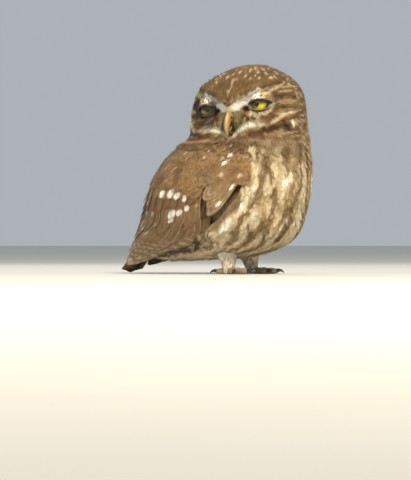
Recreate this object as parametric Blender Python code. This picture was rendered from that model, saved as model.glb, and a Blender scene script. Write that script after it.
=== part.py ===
"""Little owl standing still, life size, as separate closed solids.

The bird faces -Y with its head turned to its right, its left is +X, up is +Z and the floor is z = 0.
Sizes are written in millimetres and become metres in one place, new_object().
"""

import math
import random

import bmesh
import bpy
import numpy as np
from mathutils import Vector

MM = 0.001
GAP = 0.3
SEED = 7
FEATHER = 0.6
STEP = 1.0

# The trunk's outline in the bird's middle plane, from the neck down to the tail's tip, feathers included.
# Each station is the front line's Y and Z, the back line's Y and Z, and half the width there.
TRUNK = np.array(
    (
        (-55.0, 92.0, 36.0, 96.0, 41.0),
        (-57.0, 84.0, 45.0, 90.0, 43.5),
        (-58.0, 74.0, 52.5, 83.0, 45.5),
        (-56.5, 61.0, 60.0, 73.0, 46.5),
        (-53.5, 47.0, 66.0, 62.0, 46.5),
        (-49.5, 33.0, 70.0, 53.0, 44.5),
        (-38.0, 20.5, 73.0, 45.0, 40.5),
        (-12.0, 13.0, 76.0, 38.0, 35.5),
        (18.0, 11.0, 79.0, 32.0, 31.0),
        (42.0, 10.0, 82.0, 26.0, 25.0),
        (61.0, 6.5, 86.0, 19.0, 20.0),
        (75.0, 3.0, 89.5, 12.0, 17.0),
        (86.0, 0.0, 93.0, 5.0, 14.5),
    )
)
TRUNK_SQUARENESS = 2.15
TORSO_END = 8.6
TORSO_SEGMENTS = 34

# The folded wing lies in a shallow bed on each flank. Angles go from the breast's middle (0) round to the back (180).
WING_BED = 7.6
PAD_EDGE = 1.2
WING_FRONT = ((0.6, 78.0), (1.0, 66.0), (1.6, 58.0), (2.4, 55.0), (3.5, 61.0), (4.5, 67.0), (5.5, 70.0), (7.0, 64.0), (8.5, 50.0), (12.0, 20.0))
WING_BACK = ((0.8, 150.0), (3.0, 156.0), (5.0, 160.0), (6.5, 172.0), (8.0, 195.0), (12.0, 195.0))

# The head turns about an upright axis. Its face looks 5 degrees behind the bird's right side.
HEAD_CENTRE = np.array((0.0, -11.0, 115.0))
FACE_TURN = math.radians(175.0)
HEAD_ROLL = math.radians(5.0)
HEAD_PITCH = math.radians(3.0)
# From the crown down: height over the head's centre, half width, depth to the face, depth to the nape.
HEAD = np.array(
    (
        (36.8, 5.0, 4.5, 6.0),
        (35.6, 11.5, 9.5, 12.5),
        (32.4, 19.5, 17.5, 21.5),
        (27.6, 28.0, 24.5, 29.5),
        (21.5, 34.8, 29.5, 34.8),
        (13.5, 39.4, 33.0, 38.2),
        (4.0, 41.6, 33.4, 39.2),
        (-5.0, 42.4, 32.8, 39.4),
        (-12.0, 43.4, 33.0, 40.4),
        (-17.0, 44.4, 33.6, 41.4),
    )
)
HEAD_SQUARENESS = 2.2
CROWN_LEAN = 4.0
HEAD_SEGMENTS = 40

EYE_RADIUS = 9.3
EYE_SIDE = 19.2
EYE_HEIGHT = 9.2
EYE_FORWARD = 19.3
EYE_SPLAY = math.radians(12.0)
LID = 1.3
LID_HALF_WIDTH = 8.4
LID_UPPER = 2.8
LID_LOWER = 5.6

# The bill's ridge line in the head's middle plane: forward, height, half width and depth of the bill under it.
BILL = (
    (28.5, 7.0, 4.2, 9.0),
    (35.0, 4.5, 4.2, 9.0),
    (38.5, 0.5, 3.7, 7.4),
    (39.9, -4.0, 3.0, 5.6),
    (39.1, -8.5, 2.1, 3.8),
    (36.3, -12.6, 1.2, 2.3),
    (33.9, -15.0, 0.5, 0.9),
)
LOWER_BILL = (
    (27.0, -3.8, 2.8, 3.4),
    (31.6, -5.4, 2.6, 3.2),
    (34.0, -8.2, 1.9, 2.4),
    (34.6, -10.8, 1.0, 1.3),
)

TAIL_ROOT = np.array((0.0, 63.0, 32.5))
TAIL_LEAN = math.radians(39.0)
TAIL_FEATHERS = 5
TAIL_LENGTH = 49.0

LEG_SIDE = 17.0
LEG_BACK = -5.0
ANKLE_HEIGHT = 8.6
# For each toe: direction from straight ahead, outwards positive, then length and thickness.
TOES = ((-14.0, 15.0, 4.6), (14.0, 18.5, 4.8), (48.0, 14.5, 4.6), (176.0, 10.0, 4.4))
CLAW_LENGTH = 8.6
CLAW_SEAT = 0.35

COLOURS = {
    "brown_feather": ((0.165, 0.098, 0.052), 0.85),
    "streaked_feather": ((0.44, 0.35, 0.25), 0.9),
    "face_feather": ((0.21, 0.135, 0.075), 0.9),
    "horn": ((0.42, 0.31, 0.13), 0.4),
    "claw_horn": ((0.03, 0.026, 0.022), 0.35),
    "iris": ((0.62, 0.5, 0.03), 0.08),
    "toe_skin": ((0.36, 0.3, 0.2), 0.7),
}


def material(name):
    """The named finish, made once."""
    found = bpy.data.materials.get(name)
    if found:
        return found
    colour, roughness = COLOURS[name]
    made = bpy.data.materials.new(name)
    made.use_nodes = True
    shader = made.node_tree.nodes["Principled BSDF"]
    shader.inputs["Base Color"].default_value = (*colour, 1.0)
    shader.inputs["Roughness"].default_value = roughness
    shader.inputs["Metallic"].default_value = 0.0
    return made


def new_object(name, points, faces, finish=None):
    """A mesh object from points in millimetres, its faces turned outwards."""
    mesh = bpy.data.meshes.new(name)
    mesh.from_pydata((np.asarray(points) * MM).tolist(), [], faces)
    shape = bmesh.new()
    shape.from_mesh(mesh)
    bmesh.ops.recalc_face_normals(shape, faces=shape.faces)
    if shape.calc_volume(signed=True) < 0:
        bmesh.ops.reverse_faces(shape, faces=shape.faces)
    shape.to_mesh(mesh)
    shape.free()
    mesh.shade_smooth()
    if finish:
        mesh.materials.append(material(finish))
    made = bpy.data.objects.new(name, mesh)
    bpy.context.scene.collection.objects.link(made)
    return made


def keep_largest(mesh):
    """Leaves only the closed surface that holds the most volume."""
    shape = bmesh.new()
    shape.from_mesh(mesh)
    shape.verts.ensure_lookup_table()
    left = set(shape.verts)
    groups = []
    while left:
        stack = [left.pop()]
        group = set(stack)
        while stack:
            for edge in stack.pop().link_edges:
                for vertex in edge.verts:
                    if vertex in left:
                        left.remove(vertex)
                        group.add(vertex)
                        stack.append(vertex)
        groups.append(group)
    if len(groups) > 1:
        best = max(groups, key=lambda group: abs(volume_of(group)))
        doomed = [vertex for group in groups if group is not best for vertex in group]
        bmesh.ops.delete(shape, geom=doomed, context="VERTS")
    shape.to_mesh(mesh)
    shape.free()


def volume_of(vertices):
    """Six times the volume inside the faces round these vertices."""
    faces = {face for vertex in vertices for face in vertex.link_faces}
    total = 0.0
    for face in faces:
        first = face.verts[0].co
        for second, third in zip(face.verts[1:], face.verts[2:]):
            total += first.dot(second.co.cross(third.co))
    return total


def combine(base, others, operation, solver):
    """Joins the others to the base, or cuts them from it, and removes them."""
    group = bpy.data.collections.new("operands")
    for other in others:
        group.objects.link(other)
    modifier = base.modifiers.new("combine", "BOOLEAN")
    modifier.operand_type = "COLLECTION"
    modifier.collection = group
    modifier.operation = operation
    modifier.solver = solver
    bpy.context.view_layer.update()
    graph = bpy.context.evaluated_depsgraph_get()
    mesh = bpy.data.meshes.new_from_object(base.evaluated_get(graph))
    base.modifiers.clear()
    base.data = mesh
    for other in others:
        bpy.data.objects.remove(other)
    bpy.data.collections.remove(group)
    keep_largest(base.data)
    base.data.shade_smooth()
    return base


def fuse(base, others, solver="EXACT"):
    """One Boolean union of the base with the others. Many crossing feathers need the MANIFOLD solver."""
    return combine(base, others, "UNION", solver)


def cut(base, others, solver="EXACT"):
    """Cuts the others from the base."""
    return combine(base, others, "DIFFERENCE", solver)


def smooth_step(low, high, value):
    """Rises smoothly from 0 at low to 1 at high."""
    share = np.clip((np.asarray(value, float) - low) / (high - low), 0.0, 1.0)
    return share * share * (3.0 - 2.0 * share)


def follow(table, at):
    """Smooth values along a table's rows, one row for each whole number."""
    at = np.asarray(at, float)
    last = len(table) - 1
    low = np.clip(np.floor(at).astype(int), 0, last - 1)
    part = (at - low)[..., None]
    before = table[np.clip(low - 1, 0, last)]
    start = table[low]
    end = table[low + 1]
    after = table[np.clip(low + 2, 0, last)]
    first_slope = (end - before) / 2.0
    last_slope = (after - start) / 2.0
    square = part * part
    cube = square * part
    return (
        start * (2 * cube - 3 * square + 1)
        + first_slope * (cube - 2 * square + part)
        + end * (3 * square - 2 * cube)
        + last_slope * (cube - square)
    )


def read_line(line, at):
    """Straight interpolation in a line of (place, value) pairs."""
    places, values = zip(*line)
    return np.interp(at, places, values)


def rounded(angle, squareness):
    """Sine and cosine of an angle on a rounded square instead of a circle."""
    power = 2.0 / squareness
    sine, cosine = np.sin(angle), np.cos(angle)
    return np.sign(sine) * np.abs(sine) ** power, np.sign(cosine) * np.abs(cosine) ** power


def trunk_base(station, degrees):
    """Points of the trunk's outline surface. Angle 0 is the breast, +90 the left side, 180 the back."""
    row = follow(TRUNK, station)
    sine, cosine = rounded(np.radians(degrees), TRUNK_SQUARENESS)
    middle = (row[..., 0:2] + row[..., 2:4]) / 2.0
    reach = (row[..., 0:2] - row[..., 2:4]) / 2.0
    side = row[..., 4] * sine
    return np.stack((side, middle[..., 0] + reach[..., 0] * cosine, middle[..., 1] + reach[..., 1] * cosine), -1)


def trunk(station, degrees, height):
    """Points at a height over the trunk's outline surface, along its outward normal."""
    station, degrees, height = np.broadcast_arrays(
        np.asarray(station, float), np.asarray(degrees, float), np.asarray(height, float)
    )
    small_station, small_angle = 0.02, 0.8
    along = trunk_base(station + small_station, degrees) - trunk_base(station - small_station, degrees)
    around = trunk_base(station, degrees + small_angle) - trunk_base(station, degrees - small_angle)
    normal = np.cross(along, around)
    normal /= np.linalg.norm(normal, axis=-1, keepdims=True) + 1e-12
    return trunk_base(station, degrees) + normal * height[..., None]


def trunk_turn(station, degrees):
    """Millimetres round the trunk for one degree."""
    step = 1.0
    ends = trunk_base(station, degrees + step) - trunk_base(station, degrees - step)
    return np.linalg.norm(ends, axis=-1) / (2.0 * step)


def wing_bed(station, degrees):
    """How deep the flank is let in under the folded wing."""
    angle = np.abs((np.asarray(degrees, float) + 180.0) % 360.0 - 180.0)
    front = smooth_step(-1.0, 7.0, angle - read_line(WING_FRONT, station))
    back = smooth_step(-7.0, 1.0, read_line(WING_BACK, station) - angle)
    top = smooth_step(0.4, 1.9, station)
    return WING_BED * front * back * top


def loft(name, rings, finish=None, first_point=None, last_point=None):
    """A closed solid through rings of points, each end closed by a fan to a point."""
    rings = [np.asarray(ring, float) for ring in rings]
    count = len(rings[0])
    first = rings[0].mean(axis=0) if first_point is None else first_point
    last = rings[-1].mean(axis=0) if last_point is None else last_point
    points = np.concatenate(rings + [np.array([first, last])])
    top, bottom = len(points) - 2, len(points) - 1
    faces = []
    for level in range(len(rings) - 1):
        for place in range(count):
            right = (place + 1) % count
            a, b = level * count + place, level * count + right
            faces.append((a, b, b + count))
            faces.append((a, b + count, a + count))
    base = (len(rings) - 1) * count
    for place in range(count):
        right = (place + 1) % count
        faces.append((top, right, place))
        faces.append((bottom, base + place, base + right))
    return new_object(name, points, faces, finish)


def slab(name, outer, inner, finish=None):
    """A closed solid between two like grids of points, split alike on both faces."""
    rows, columns = outer.shape[:2]
    points = np.concatenate((outer.reshape(-1, 3), inner.reshape(-1, 3)))
    under = rows * columns
    faces = []
    for row in range(rows - 1):
        for column in range(columns - 1):
            a = row * columns + column
            b, c, d = a + 1, a + columns + 1, a + columns
            faces += [(a, b, c), (a, c, d), (under + a, under + c, under + b), (under + a, under + d, under + c)]
    edge = [column for column in range(columns)]
    edge += [row * columns + columns - 1 for row in range(1, rows)]
    edge += [(rows - 1) * columns + column for column in range(columns - 2, -1, -1)]
    edge += [row * columns for row in range(rows - 2, 0, -1)]
    for place, start in enumerate(edge):
        end = edge[(place + 1) % len(edge)]
        faces += [(start, under + start, under + end), (start, under + end, end)]
    return new_object(name, points, faces, finish)


def vane_outline(share):
    """Half width of a feather along its length, as a share of its widest: narrow root, round tip."""
    root = 0.62 + 0.38 * smooth_step(0.0, 0.35, share)
    tip = np.sqrt(np.clip(1.0 - (np.clip(share - 0.66, 0.0, 1.0) / 0.36) ** 2, 0.05, 1.0))
    return root * tip


def trunk_vane(side, station, angle, reach, lift):
    """One feather lying along the trunk's surface, from grids of its places and heights in millimetres."""
    turn = trunk_turn(station, side * angle)[:, None]
    stations = np.broadcast_to(station[:, None], reach.shape)
    angles = angle[:, None] + reach / turn
    lift = np.maximum(lift, GAP + FEATHER - wing_bed(stations, angles))
    outer = trunk(stations, side * angles, lift + FEATHER / 2.0)
    inner = trunk(stations, side * angles, lift - FEATHER / 2.0)
    return slab("vane", outer, inner)


def feather_row(side, draw, count, root_line, tip_line, half_width, heights, shares):
    """A tier of feathers, each lying over the one in front of it.

    Both lines run from the front to the back as (station, angle) pairs, and heights has a height over the
    trunk's surface for each share of the length. Each feather tilts just enough to clear its neighbours.
    """
    shares = np.asarray(shares, float)

    def places(line, at):
        spots = np.linspace(0.0, count - 1.0, len(line))
        return [np.interp(at, spots, [point[axis] for point in line]) for axis in (0, 1)]

    def angle_at(number, station):
        low, high = min(max(number, 0), count - 1), None
        root, tip = places(root_line, low), places(tip_line, low)
        share = (station - root[0]) / (tip[0] - root[0])
        high = root[1] + (tip[1] - root[1]) * share
        return high + (number - low) * 6.0

    made = []
    for number in range(count):
        root, tip = places(root_line, number), places(tip_line, number)
        tip[0] += draw.uniform(-0.05, 0.05)
        station = root[0] + (tip[0] - root[0]) * shares
        angle = angle_at(number, station)
        turn = trunk_turn(station, side * angle)
        pitch = (angle_at(min(number + 1, count - 1), station) - angle_at(max(number - 1, 0), station)) * turn
        pitch = np.clip(pitch / (2.0 if 0 < number < count - 1 else 1.0), 1.7, 9.0)
        free = smooth_step(0.6, 0.9, shares)
        half = half_width * vane_outline(shares) * draw.uniform(0.96, 1.04)
        half = np.minimum(half, 0.5 * pitch + 1.0 + 4.0 * free)
        reach = half[:, None] * np.array((-1.0, 0.0, 1.0))
        lift = np.array(heights)[:, None] - (STEP / pitch)[:, None] * reach * (1.0 - 0.45 * free[:, None])
        made.append(trunk_vane(side, station, angle, reach, lift))
    return made


def wing(name, side):
    """A folded wing: a pad for the arm and small coverts, with the tiers of feathers that grow from it."""
    draw = random.Random(SEED)
    rows = np.array((0.0, 0.1, 0.24, 0.42, 0.6, 0.76, 0.9, 1.0))
    columns = np.array((0.0, 0.08, 0.18, 0.34, 0.52, 0.7, 0.88, 1.0))
    station = 0.72 + 4.3 * rows[:, None] + 0.0 * columns
    front = read_line(WING_FRONT, station) + 1.0
    back = read_line(WING_BACK, station) - 1.0
    angle = front + (back - front) * columns
    bed = -wing_bed(station, angle)
    covered = smooth_step(2.1, 2.7, station) * smooth_step(6.0, 14.0, angle - front)
    cover = -0.5 - 1.5 * covered - 4.0 * smooth_step(4.0, 5.0, station)
    outer_height = np.maximum(bed + PAD_EDGE, cover)
    pad = slab(
        name,
        trunk(station, side * angle, outer_height),
        trunk(station, side * angle, bed - 1.0),
        "brown_feather",
    )
    long_shares = (0.0, 0.14, 0.5, 0.84, 1.0)
    short_shares = (0.0, 0.3, 0.8, 1.0)
    feathers = []
    feathers += feather_row(
        side, draw, 7, ((4.3, 78.0), (4.3, 108.0)),
        ((8.6, 62.0), (9.8, 62.0), (10.8, 66.0), (11.1, 78.0), (10.9, 92.0), (10.4, 106.0), (9.8, 120.0)),
        5.4, (-5.9, -5.9, -5.6, -4.2, -3.6), long_shares,
    )
    feathers += feather_row(
        side, draw, 5, ((4.2, 94.0), (4.2, 138.0)), ((7.5, 87.0), (8.3, 112.0), (8.9, 140.0)),
        7.2, (-3.7, -3.5, -3.3, -3.0, -3.0), long_shares,
    )
    feathers += feather_row(
        side, draw, 3, ((3.4, 134.0), (3.4, 150.0)), ((8.7, 140.0), (7.6, 166.0)),
        7.6, (-2.9, -1.2, -1.0, -0.9, -0.9), long_shares,
    )
    feathers += feather_row(
        side, draw, 3, ((3.7, 76.0), (3.9, 88.0)), ((5.7, 74.0), (6.1, 86.0)),
        5.0, (-3.6, -3.3, -3.0, -3.0), short_shares,
    )
    feathers += feather_row(
        side, draw, 5, ((3.5, 88.0), (3.5, 134.0)), ((5.6, 85.0), (5.9, 126.0)),
        7.4, (-2.8, -1.7, -1.4, -1.4), short_shares,
    )
    feathers += feather_row(
        side, draw, 3, ((2.5, 66.0), (2.6, 76.0)), ((4.9, 71.0), (4.2, 77.0)),
        4.6, (-2.6, -0.7, -0.7, -0.7), short_shares,
    )
    feathers += feather_row(
        side, draw, 4, ((2.2, 82.0), (2.2, 116.0)), ((4.5, 82.0), (4.75, 112.0)),
        7.4, (-2.9, -0.1, 0.1, 0.1), short_shares,
    )
    feathers += feather_row(
        side, draw, 4, ((1.6, 110.0), (1.6, 146.0)), ((4.4, 108.0), (4.8, 130.0), (5.3, 152.0)),
        9.4, (-2.4, 0.8, 1.0, 1.0), short_shares,
    )
    fuse(pad, feathers, "MANIFOLD")
    cut(pad, [torso_solid("torso_room", GAP)], "MANIFOLD")


def torso_solid(name, swell=0.0, finish=None):
    """The trunk without its wings. swell grows it evenly, for cutting what fits against it."""
    levels = np.concatenate((np.linspace(0.0, 8.0, 15), (TORSO_END,)))
    angles = np.linspace(0.0, 360.0, TORSO_SEGMENTS, endpoint=False)
    rings = [trunk(level, angles, swell - wing_bed(level, angles)) for level in levels]
    if swell:
        rise = rings[0].mean(axis=0) - rings[1].mean(axis=0)
        fall = rings[-1].mean(axis=0) - rings[-2].mean(axis=0)
        rings.insert(0, rings[0] + swell * rise / np.linalg.norm(rise))
        rings.append(rings[-1] + swell * fall / np.linalg.norm(fall))
    return loft(name, rings, finish)


def face_relief(side, height):
    """How far the face's feathers stand out or sink, from places in millimetres in the face's plane."""
    across = np.abs(side)

    def bump(centre_side, centre_height, wide, tall):
        return np.exp(-(((across - centre_side) / wide) ** 2) - ((height - centre_height) / tall) ** 2)

    dish = -4.2 * bump(EYE_SIDE, EYE_HEIGHT - 1.0, 11.5, 9.5)
    brow_height = 9.0 + 0.42 * (across - 4.0)
    brow_length = smooth_step(1.0, 8.0, across) * (1.0 - smooth_step(27.0, 36.0, across))
    brow = 3.4 * np.exp(-(((height - brow_height - 3.2) / 3.6) ** 2)) * brow_length
    middle = 3.6 * bump(0.0, 8.0, 5.0, 9.0)
    cheek = 2.4 * bump(25.0, -9.0, 8.0, 6.0)
    whisker = 2.2 * bump(9.5, -4.0, 4.5, 6.0)
    far = np.hypot((across - EYE_SIDE + 1.0) / 1.15, height - EYE_HEIGHT + 1.0)
    rim = 1.5 * np.exp(-(((far - 18.0) / 2.6) ** 2)) * smooth_step(12.0, 20.0, across)
    chin = -2.8 * bump(0.0, -9.5, 6.0, 5.5)
    return dish + brow + middle + cheek + whisker + rim + chin


def head_ring(level, degrees):
    """A ring of the head in its own frame (side, forward, up). Angle 0 is its left, 90 the face."""
    row = follow(HEAD, level)
    height, half_width, face_depth, nape_depth = (row[..., place] for place in range(4))
    angle = np.radians(degrees)
    power = 2.0 / HEAD_SQUARENESS
    cosine = np.sign(np.cos(angle)) * np.abs(np.cos(angle)) ** power
    sine = np.sign(np.sin(angle)) * np.abs(np.sin(angle)) ** power
    depth = np.where(sine > 0, face_depth, nape_depth)
    side = half_width * cosine
    forward = depth * sine
    relief = face_relief(side, height + 0.0 * side) * smooth_step(0.25, 0.8, np.sin(angle))
    relief = relief * smooth_step(0.0, 10.0, face_depth)
    reach = np.hypot(side, forward) + 1e-9
    return np.stack((side * (1 + relief / reach), forward * (1 + relief / reach), height + 0.0 * side), -1)


def head_to_world(points):
    """Turns points of the head's frame (its left, forward, up) into the bird's."""
    points = np.asarray(points, float)
    side, forward, up = points[..., 0], points[..., 1], points[..., 2]
    hold = smooth_step(-19.0, -4.0, up) * (1.0 - 0.8 * smooth_step(12.0, 34.0, up))
    tipped = up + hold * (math.tan(HEAD_ROLL) * side - math.tan(HEAD_PITCH) * forward)
    side = side + CROWN_LEAN * smooth_step(18.0, 37.0, up)
    face = np.array((math.cos(FACE_TURN), -math.sin(FACE_TURN), 0.0))
    left = np.array((math.sin(FACE_TURN), math.cos(FACE_TURN), 0.0))
    upright = np.array((0.0, 0.0, 1.0))
    return HEAD_CENTRE + side[..., None] * left + forward[..., None] * face + tipped[..., None] * upright


def eye_centre(side):
    """Centre of an eyeball in the head's frame."""
    return np.array((side * EYE_SIDE, EYE_FORWARD, EYE_HEIGHT))


def eye_axes(side):
    """The eye's own sideways, forward and up directions in the head's frame."""
    turn = side * EYE_SPLAY
    forward = np.array((math.sin(turn), math.cos(turn), 0.0))
    across = np.array((math.cos(turn), -math.sin(turn), 0.0))
    return across, forward, np.array((0.0, 0.0, 1.0))


def ball(name, side, radius, segments, rings, finish=None):
    """A sphere round an eye's centre, its pole on the eye's axis."""
    across, forward, up = eye_axes(side)
    centre = eye_centre(side)
    turns = np.linspace(0.0, 2 * np.pi, segments, endpoint=False)
    loops = []
    for level in range(1, rings):
        lean = np.pi * level / rings
        spread = np.cos(turns)[:, None] * across + np.sin(turns)[:, None] * up
        loops.append(head_to_world(centre + radius * (math.cos(lean) * forward + math.sin(lean) * spread)))
    first, last = (head_to_world(centre + radius * way * forward) for way in (1.0, -1.0))
    return loft(name, loops, finish, first, last)


def lid_opening(side):
    """A prism along the eye's axis with the outline of the half-closed lids."""
    across, forward, up = eye_axes(side)
    centre = eye_centre(side)
    turns = np.linspace(0.0, 2 * np.pi, 18, endpoint=False)
    wide = LID_HALF_WIDTH * np.cos(turns)
    tall = np.where(np.sin(turns) > 0, LID_UPPER, LID_LOWER) * np.sin(turns)
    slant = 0.1 * wide * side
    loops = []
    for depth in (2.0, 9.0, 20.0):
        flare = 1.0 + 0.02 * (depth - 9.0)
        spread = wide[:, None] * flare * across + (tall * flare + slant - 0.8)[:, None] * up
        loops.append(head_to_world(centre + depth * forward + spread))
    return loft("lids", loops)


def bill_solid(name, profile, swell=0.0, finish=None):
    """A bill half, from its ridge line with a width and a depth at each point."""
    path = np.array([(row[0], row[1]) for row in profile])
    way = np.gradient(path, axis=0)
    way /= np.linalg.norm(way, axis=1, keepdims=True)
    turns = np.linspace(0.0, 2 * np.pi, 12, endpoint=False)
    rings = []
    for (forward, height, half_width, depth), (step_forward, step_up) in zip(profile, way):
        under = np.array((step_up, -step_forward))
        under = under if under[0] < 0 or under[1] < 0 else -under
        centre = np.array((forward, height)) + under * depth / 2.0
        spread = (half_width + swell) * np.sin(turns)
        fall = -(depth / 2.0 + swell) * np.cos(turns)
        ring = np.stack((spread, centre[0] + under[0] * fall, centre[1] + under[1] * fall), -1)
        rings.append(head_to_world(ring))
    return loft(name, rings, finish)


def head_and_bill():
    """The head with its sockets and lids, the two halves of the bill and the eyes."""
    levels = np.array((0.0, 1.0, 2.0, 2.9, 3.6, 4.1, 4.5, 4.9, 5.3, 5.7, 6.1, 6.6, 7.1, 7.6, 8.2, 9.0))
    face = np.linspace(18.0, 162.0, 27)
    rest = np.linspace(162.0, 378.0, 18)[1:-1]
    degrees = np.concatenate((face, rest))
    rings = [head_to_world(head_ring(np.full(len(degrees), level), degrees)) for level in levels]
    crown = head_to_world(np.array((0.0, -1.0, 37.0)))
    head = loft("head", rings, "face_feather", crown)
    fuse(head, [ball("lid", side, EYE_RADIUS + LID, 16, 8) for side in (-1, 1)])
    hollows = [ball("socket", side, EYE_RADIUS + GAP, 16, 8) for side in (-1, 1)]
    hollows += [lid_opening(side) for side in (-1, 1)]
    hollows += [bill_solid("bill_room", BILL, GAP), bill_solid("lower_bill_room", LOWER_BILL, GAP)]
    cut(head, hollows)
    upper = bill_solid("bill_upper", BILL, 0.0, "horn")
    lower = bill_solid("bill_lower", LOWER_BILL, 0.0, "horn")
    cut(upper, [nostril(side) for side in (-1, 1)])
    cut(lower, [bill_solid("upper_room", BILL, GAP)])
    for word, side in (("left", 1), ("right", -1)):
        ball(f"eye_{word}", side, EYE_RADIUS, 16, 8, "iris")


def nostril(side):
    """A small pit in the side of the bill's root."""
    turns = np.linspace(0.0, 2 * np.pi, 8, endpoint=False)
    loops = []
    for outwards in (2.6, 6.0):
        loops.append(
            head_to_world(
                np.stack((side * outwards + 0.0 * turns, 35.6 + 0.9 * np.cos(turns), -0.4 + 0.6 * np.sin(turns)), -1)
            )
        )
    return loft("nostril", loops)


def neck():
    """The collar between the head's lowest ring and the trunk's first."""
    degrees = np.linspace(0.0, 360.0, 36, endpoint=False)
    low = trunk(0.0, degrees, 0.0)
    turned = np.degrees(FACE_TURN) - 90.0
    high = head_to_world(head_ring(np.full(len(degrees), float(len(HEAD) - 1)), 90.0 - degrees - turned))
    low[:, 2] += GAP
    high[:, 2] -= GAP
    rings = [low + (high - low) * share for share in (0.0, 0.33, 0.67, 1.0)]
    waist = 1.0 - 0.03 * np.array((0.0, 1.0, 1.0, 0.0))
    middle = [ring.mean(axis=0) for ring in rings]
    rings = [centre + (ring - centre) * pull for ring, centre, pull in zip(rings, middle, waist)]
    loft("neck", rings, "face_feather")


def tail():
    """The rump with a closed fan of tail feathers, trimmed where it rests on the floor."""
    down = np.array((0.0, math.sin(TAIL_LEAN), -math.cos(TAIL_LEAN)))
    out = np.array((0.0, math.cos(TAIL_LEAN), math.sin(TAIL_LEAN)))
    across = np.array((1.0, 0.0, 0.0))
    turns = np.linspace(0.0, 2 * np.pi, 14, endpoint=False)
    rings = []
    for along, wide, thick in ((-10.0, 9.5, 6.0), (0.0, 9.8, 5.6), (8.0, 9.4, 4.4), (15.0, 8.2, 3.0), (20.0, 6.0, 1.6)):
        spread = wide * np.cos(turns)[:, None] * across + thick * np.sin(turns)[:, None] * out
        rings.append(TAIL_ROOT + along * down - 1.0 * out + spread)
    rump = loft("tail", rings, "brown_feather")
    feathers = []
    shares = np.array((0.0, 0.35, 0.65, 0.88, 1.0))
    for side in (-1, 1):
        for place in range(TAIL_FEATHERS):
            top = place == 0
            pitch = 1.85 + 1.3 * smooth_step(0.25, 1.0, shares)
            along = 5.0 + (TAIL_LENGTH - 0.5 * place) * shares
            outer_edge = pitch * (place + 1.0)
            overlap = -2.6 if top and side > 0 else 0.25
            inner_edge = np.maximum(outer_edge - pitch - 1.7, overlap)
            outline = vane_outline(shares * 0.9 + 0.1)
            middle = (outer_edge + inner_edge) / 2.0
            half = (outer_edge - inner_edge) / 2.0 * np.where(shares > 0.8, outline, 1.0)
            reach = half[:, None] * np.array((-1.0, 0.0, 1.0))
            tilt = 0.9 / pitch[:, None]
            base = 0.9 if top and side > 0 else 0.0
            lift = base + tilt * (reach + middle[:, None] - outer_edge[:, None]) + 0.3
            spread = side * (middle[:, None] + reach)
            spine = TAIL_ROOT + along[:, None, None] * down
            outer = spine + spread[..., None] * across + (lift + FEATHER / 2.0)[..., None] * out
            inner = spine + spread[..., None] * across + (lift - FEATHER / 2.0)[..., None] * out
            feathers.append(slab("vane", outer, inner))
    fuse(rump, feathers, "MANIFOLD")
    cut(rump, [torso_solid("torso_room", GAP), floor_block()])


def floor_block():
    """Everything under the floor."""
    side = 200.0
    corners = np.array(((-side, -side), (side, -side), (side, side), (-side, side)))
    low = np.column_stack((corners, np.full(4, -60.0)))
    high = np.column_stack((corners, np.zeros(4)))
    return loft("floor", [low, high])


def tube(name, path, radii, sides, finish=None, squash=1.0):
    """A closed round tube along a path of points, with a radius at each."""
    path = np.asarray(path, float)
    way = np.gradient(path, axis=0)
    way /= np.linalg.norm(way, axis=1, keepdims=True)
    turns = np.linspace(0.0, 2 * np.pi, sides, endpoint=False) + np.pi / sides
    rings = []
    for point, direction, radius in zip(path, way, radii):
        across = np.cross(direction, (0.0, 0.0, 1.0))
        if np.linalg.norm(across) < 0.2:
            across = np.cross(direction, (0.0, 1.0, 0.0))
        across /= np.linalg.norm(across)
        up = np.cross(across, direction)
        rings.append(point + radius * (np.cos(turns)[:, None] * across + squash * np.sin(turns)[:, None] * up))
    return loft(name, rings, finish)


def leg_and_foot(word, side):
    """A feathered leg, its foot of four toes, and the claws."""
    knee = np.array((side * (LEG_SIDE - 1.0), LEG_BACK + 3.0, 25.0))
    ankle = np.array((side * LEG_SIDE, LEG_BACK, ANKLE_HEIGHT))
    turns = np.linspace(0.0, 2 * np.pi, 14, endpoint=False)
    level = np.stack((np.cos(turns), np.sin(turns), 0.0 * turns), -1)
    rings = [
        knee + (ankle - knee) * share + radius * level
        for share, radius in ((0.0, 9.0), (0.25, 8.4), (0.5, 7.2), (0.75, 5.6), (1.0, 4.2))
    ]
    leg = loft(f"leg_{word}", rings, "streaked_feather")
    cut(leg, [torso_solid("torso_room", GAP)])
    heel = ankle - np.array((0.0, 0.0, GAP))
    stem = tube(
        f"foot_{word}",
        [heel - np.array((0.0, 0.0, drop)) for drop in (0.0, 2.2, 4.6, 9.0)],
        (3.6, 3.9, 4.3, 3.4),
        10,
        "toe_skin",
    )
    toes = []
    for place, (turn, length, thick) in enumerate(TOES):
        angle = math.radians(turn) * side
        ahead = np.array((math.sin(angle), -math.cos(angle), 0.0))
        start = np.array((ankle[0], ankle[1], 0.0))
        radius = thick / 2.0
        along = np.array((0.0, 0.3, 0.62, 1.0)) * length
        height = radius * np.array((1.25, 1.1, 0.9, 0.86))
        path = start + along[:, None] * ahead + height[:, None] * np.array((0.0, 0.0, 1.0))
        radii = radius * np.array((1.05, 0.98, 1.02, 0.8))
        toes.append(tube("toe", path, radii, 8))
        claw(f"claw_{word}_{place + 1}", start + (length + GAP + CLAW_SEAT) * ahead, ahead, radius)
    fuse(stem, toes)
    cut(stem, [floor_block()])


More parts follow.
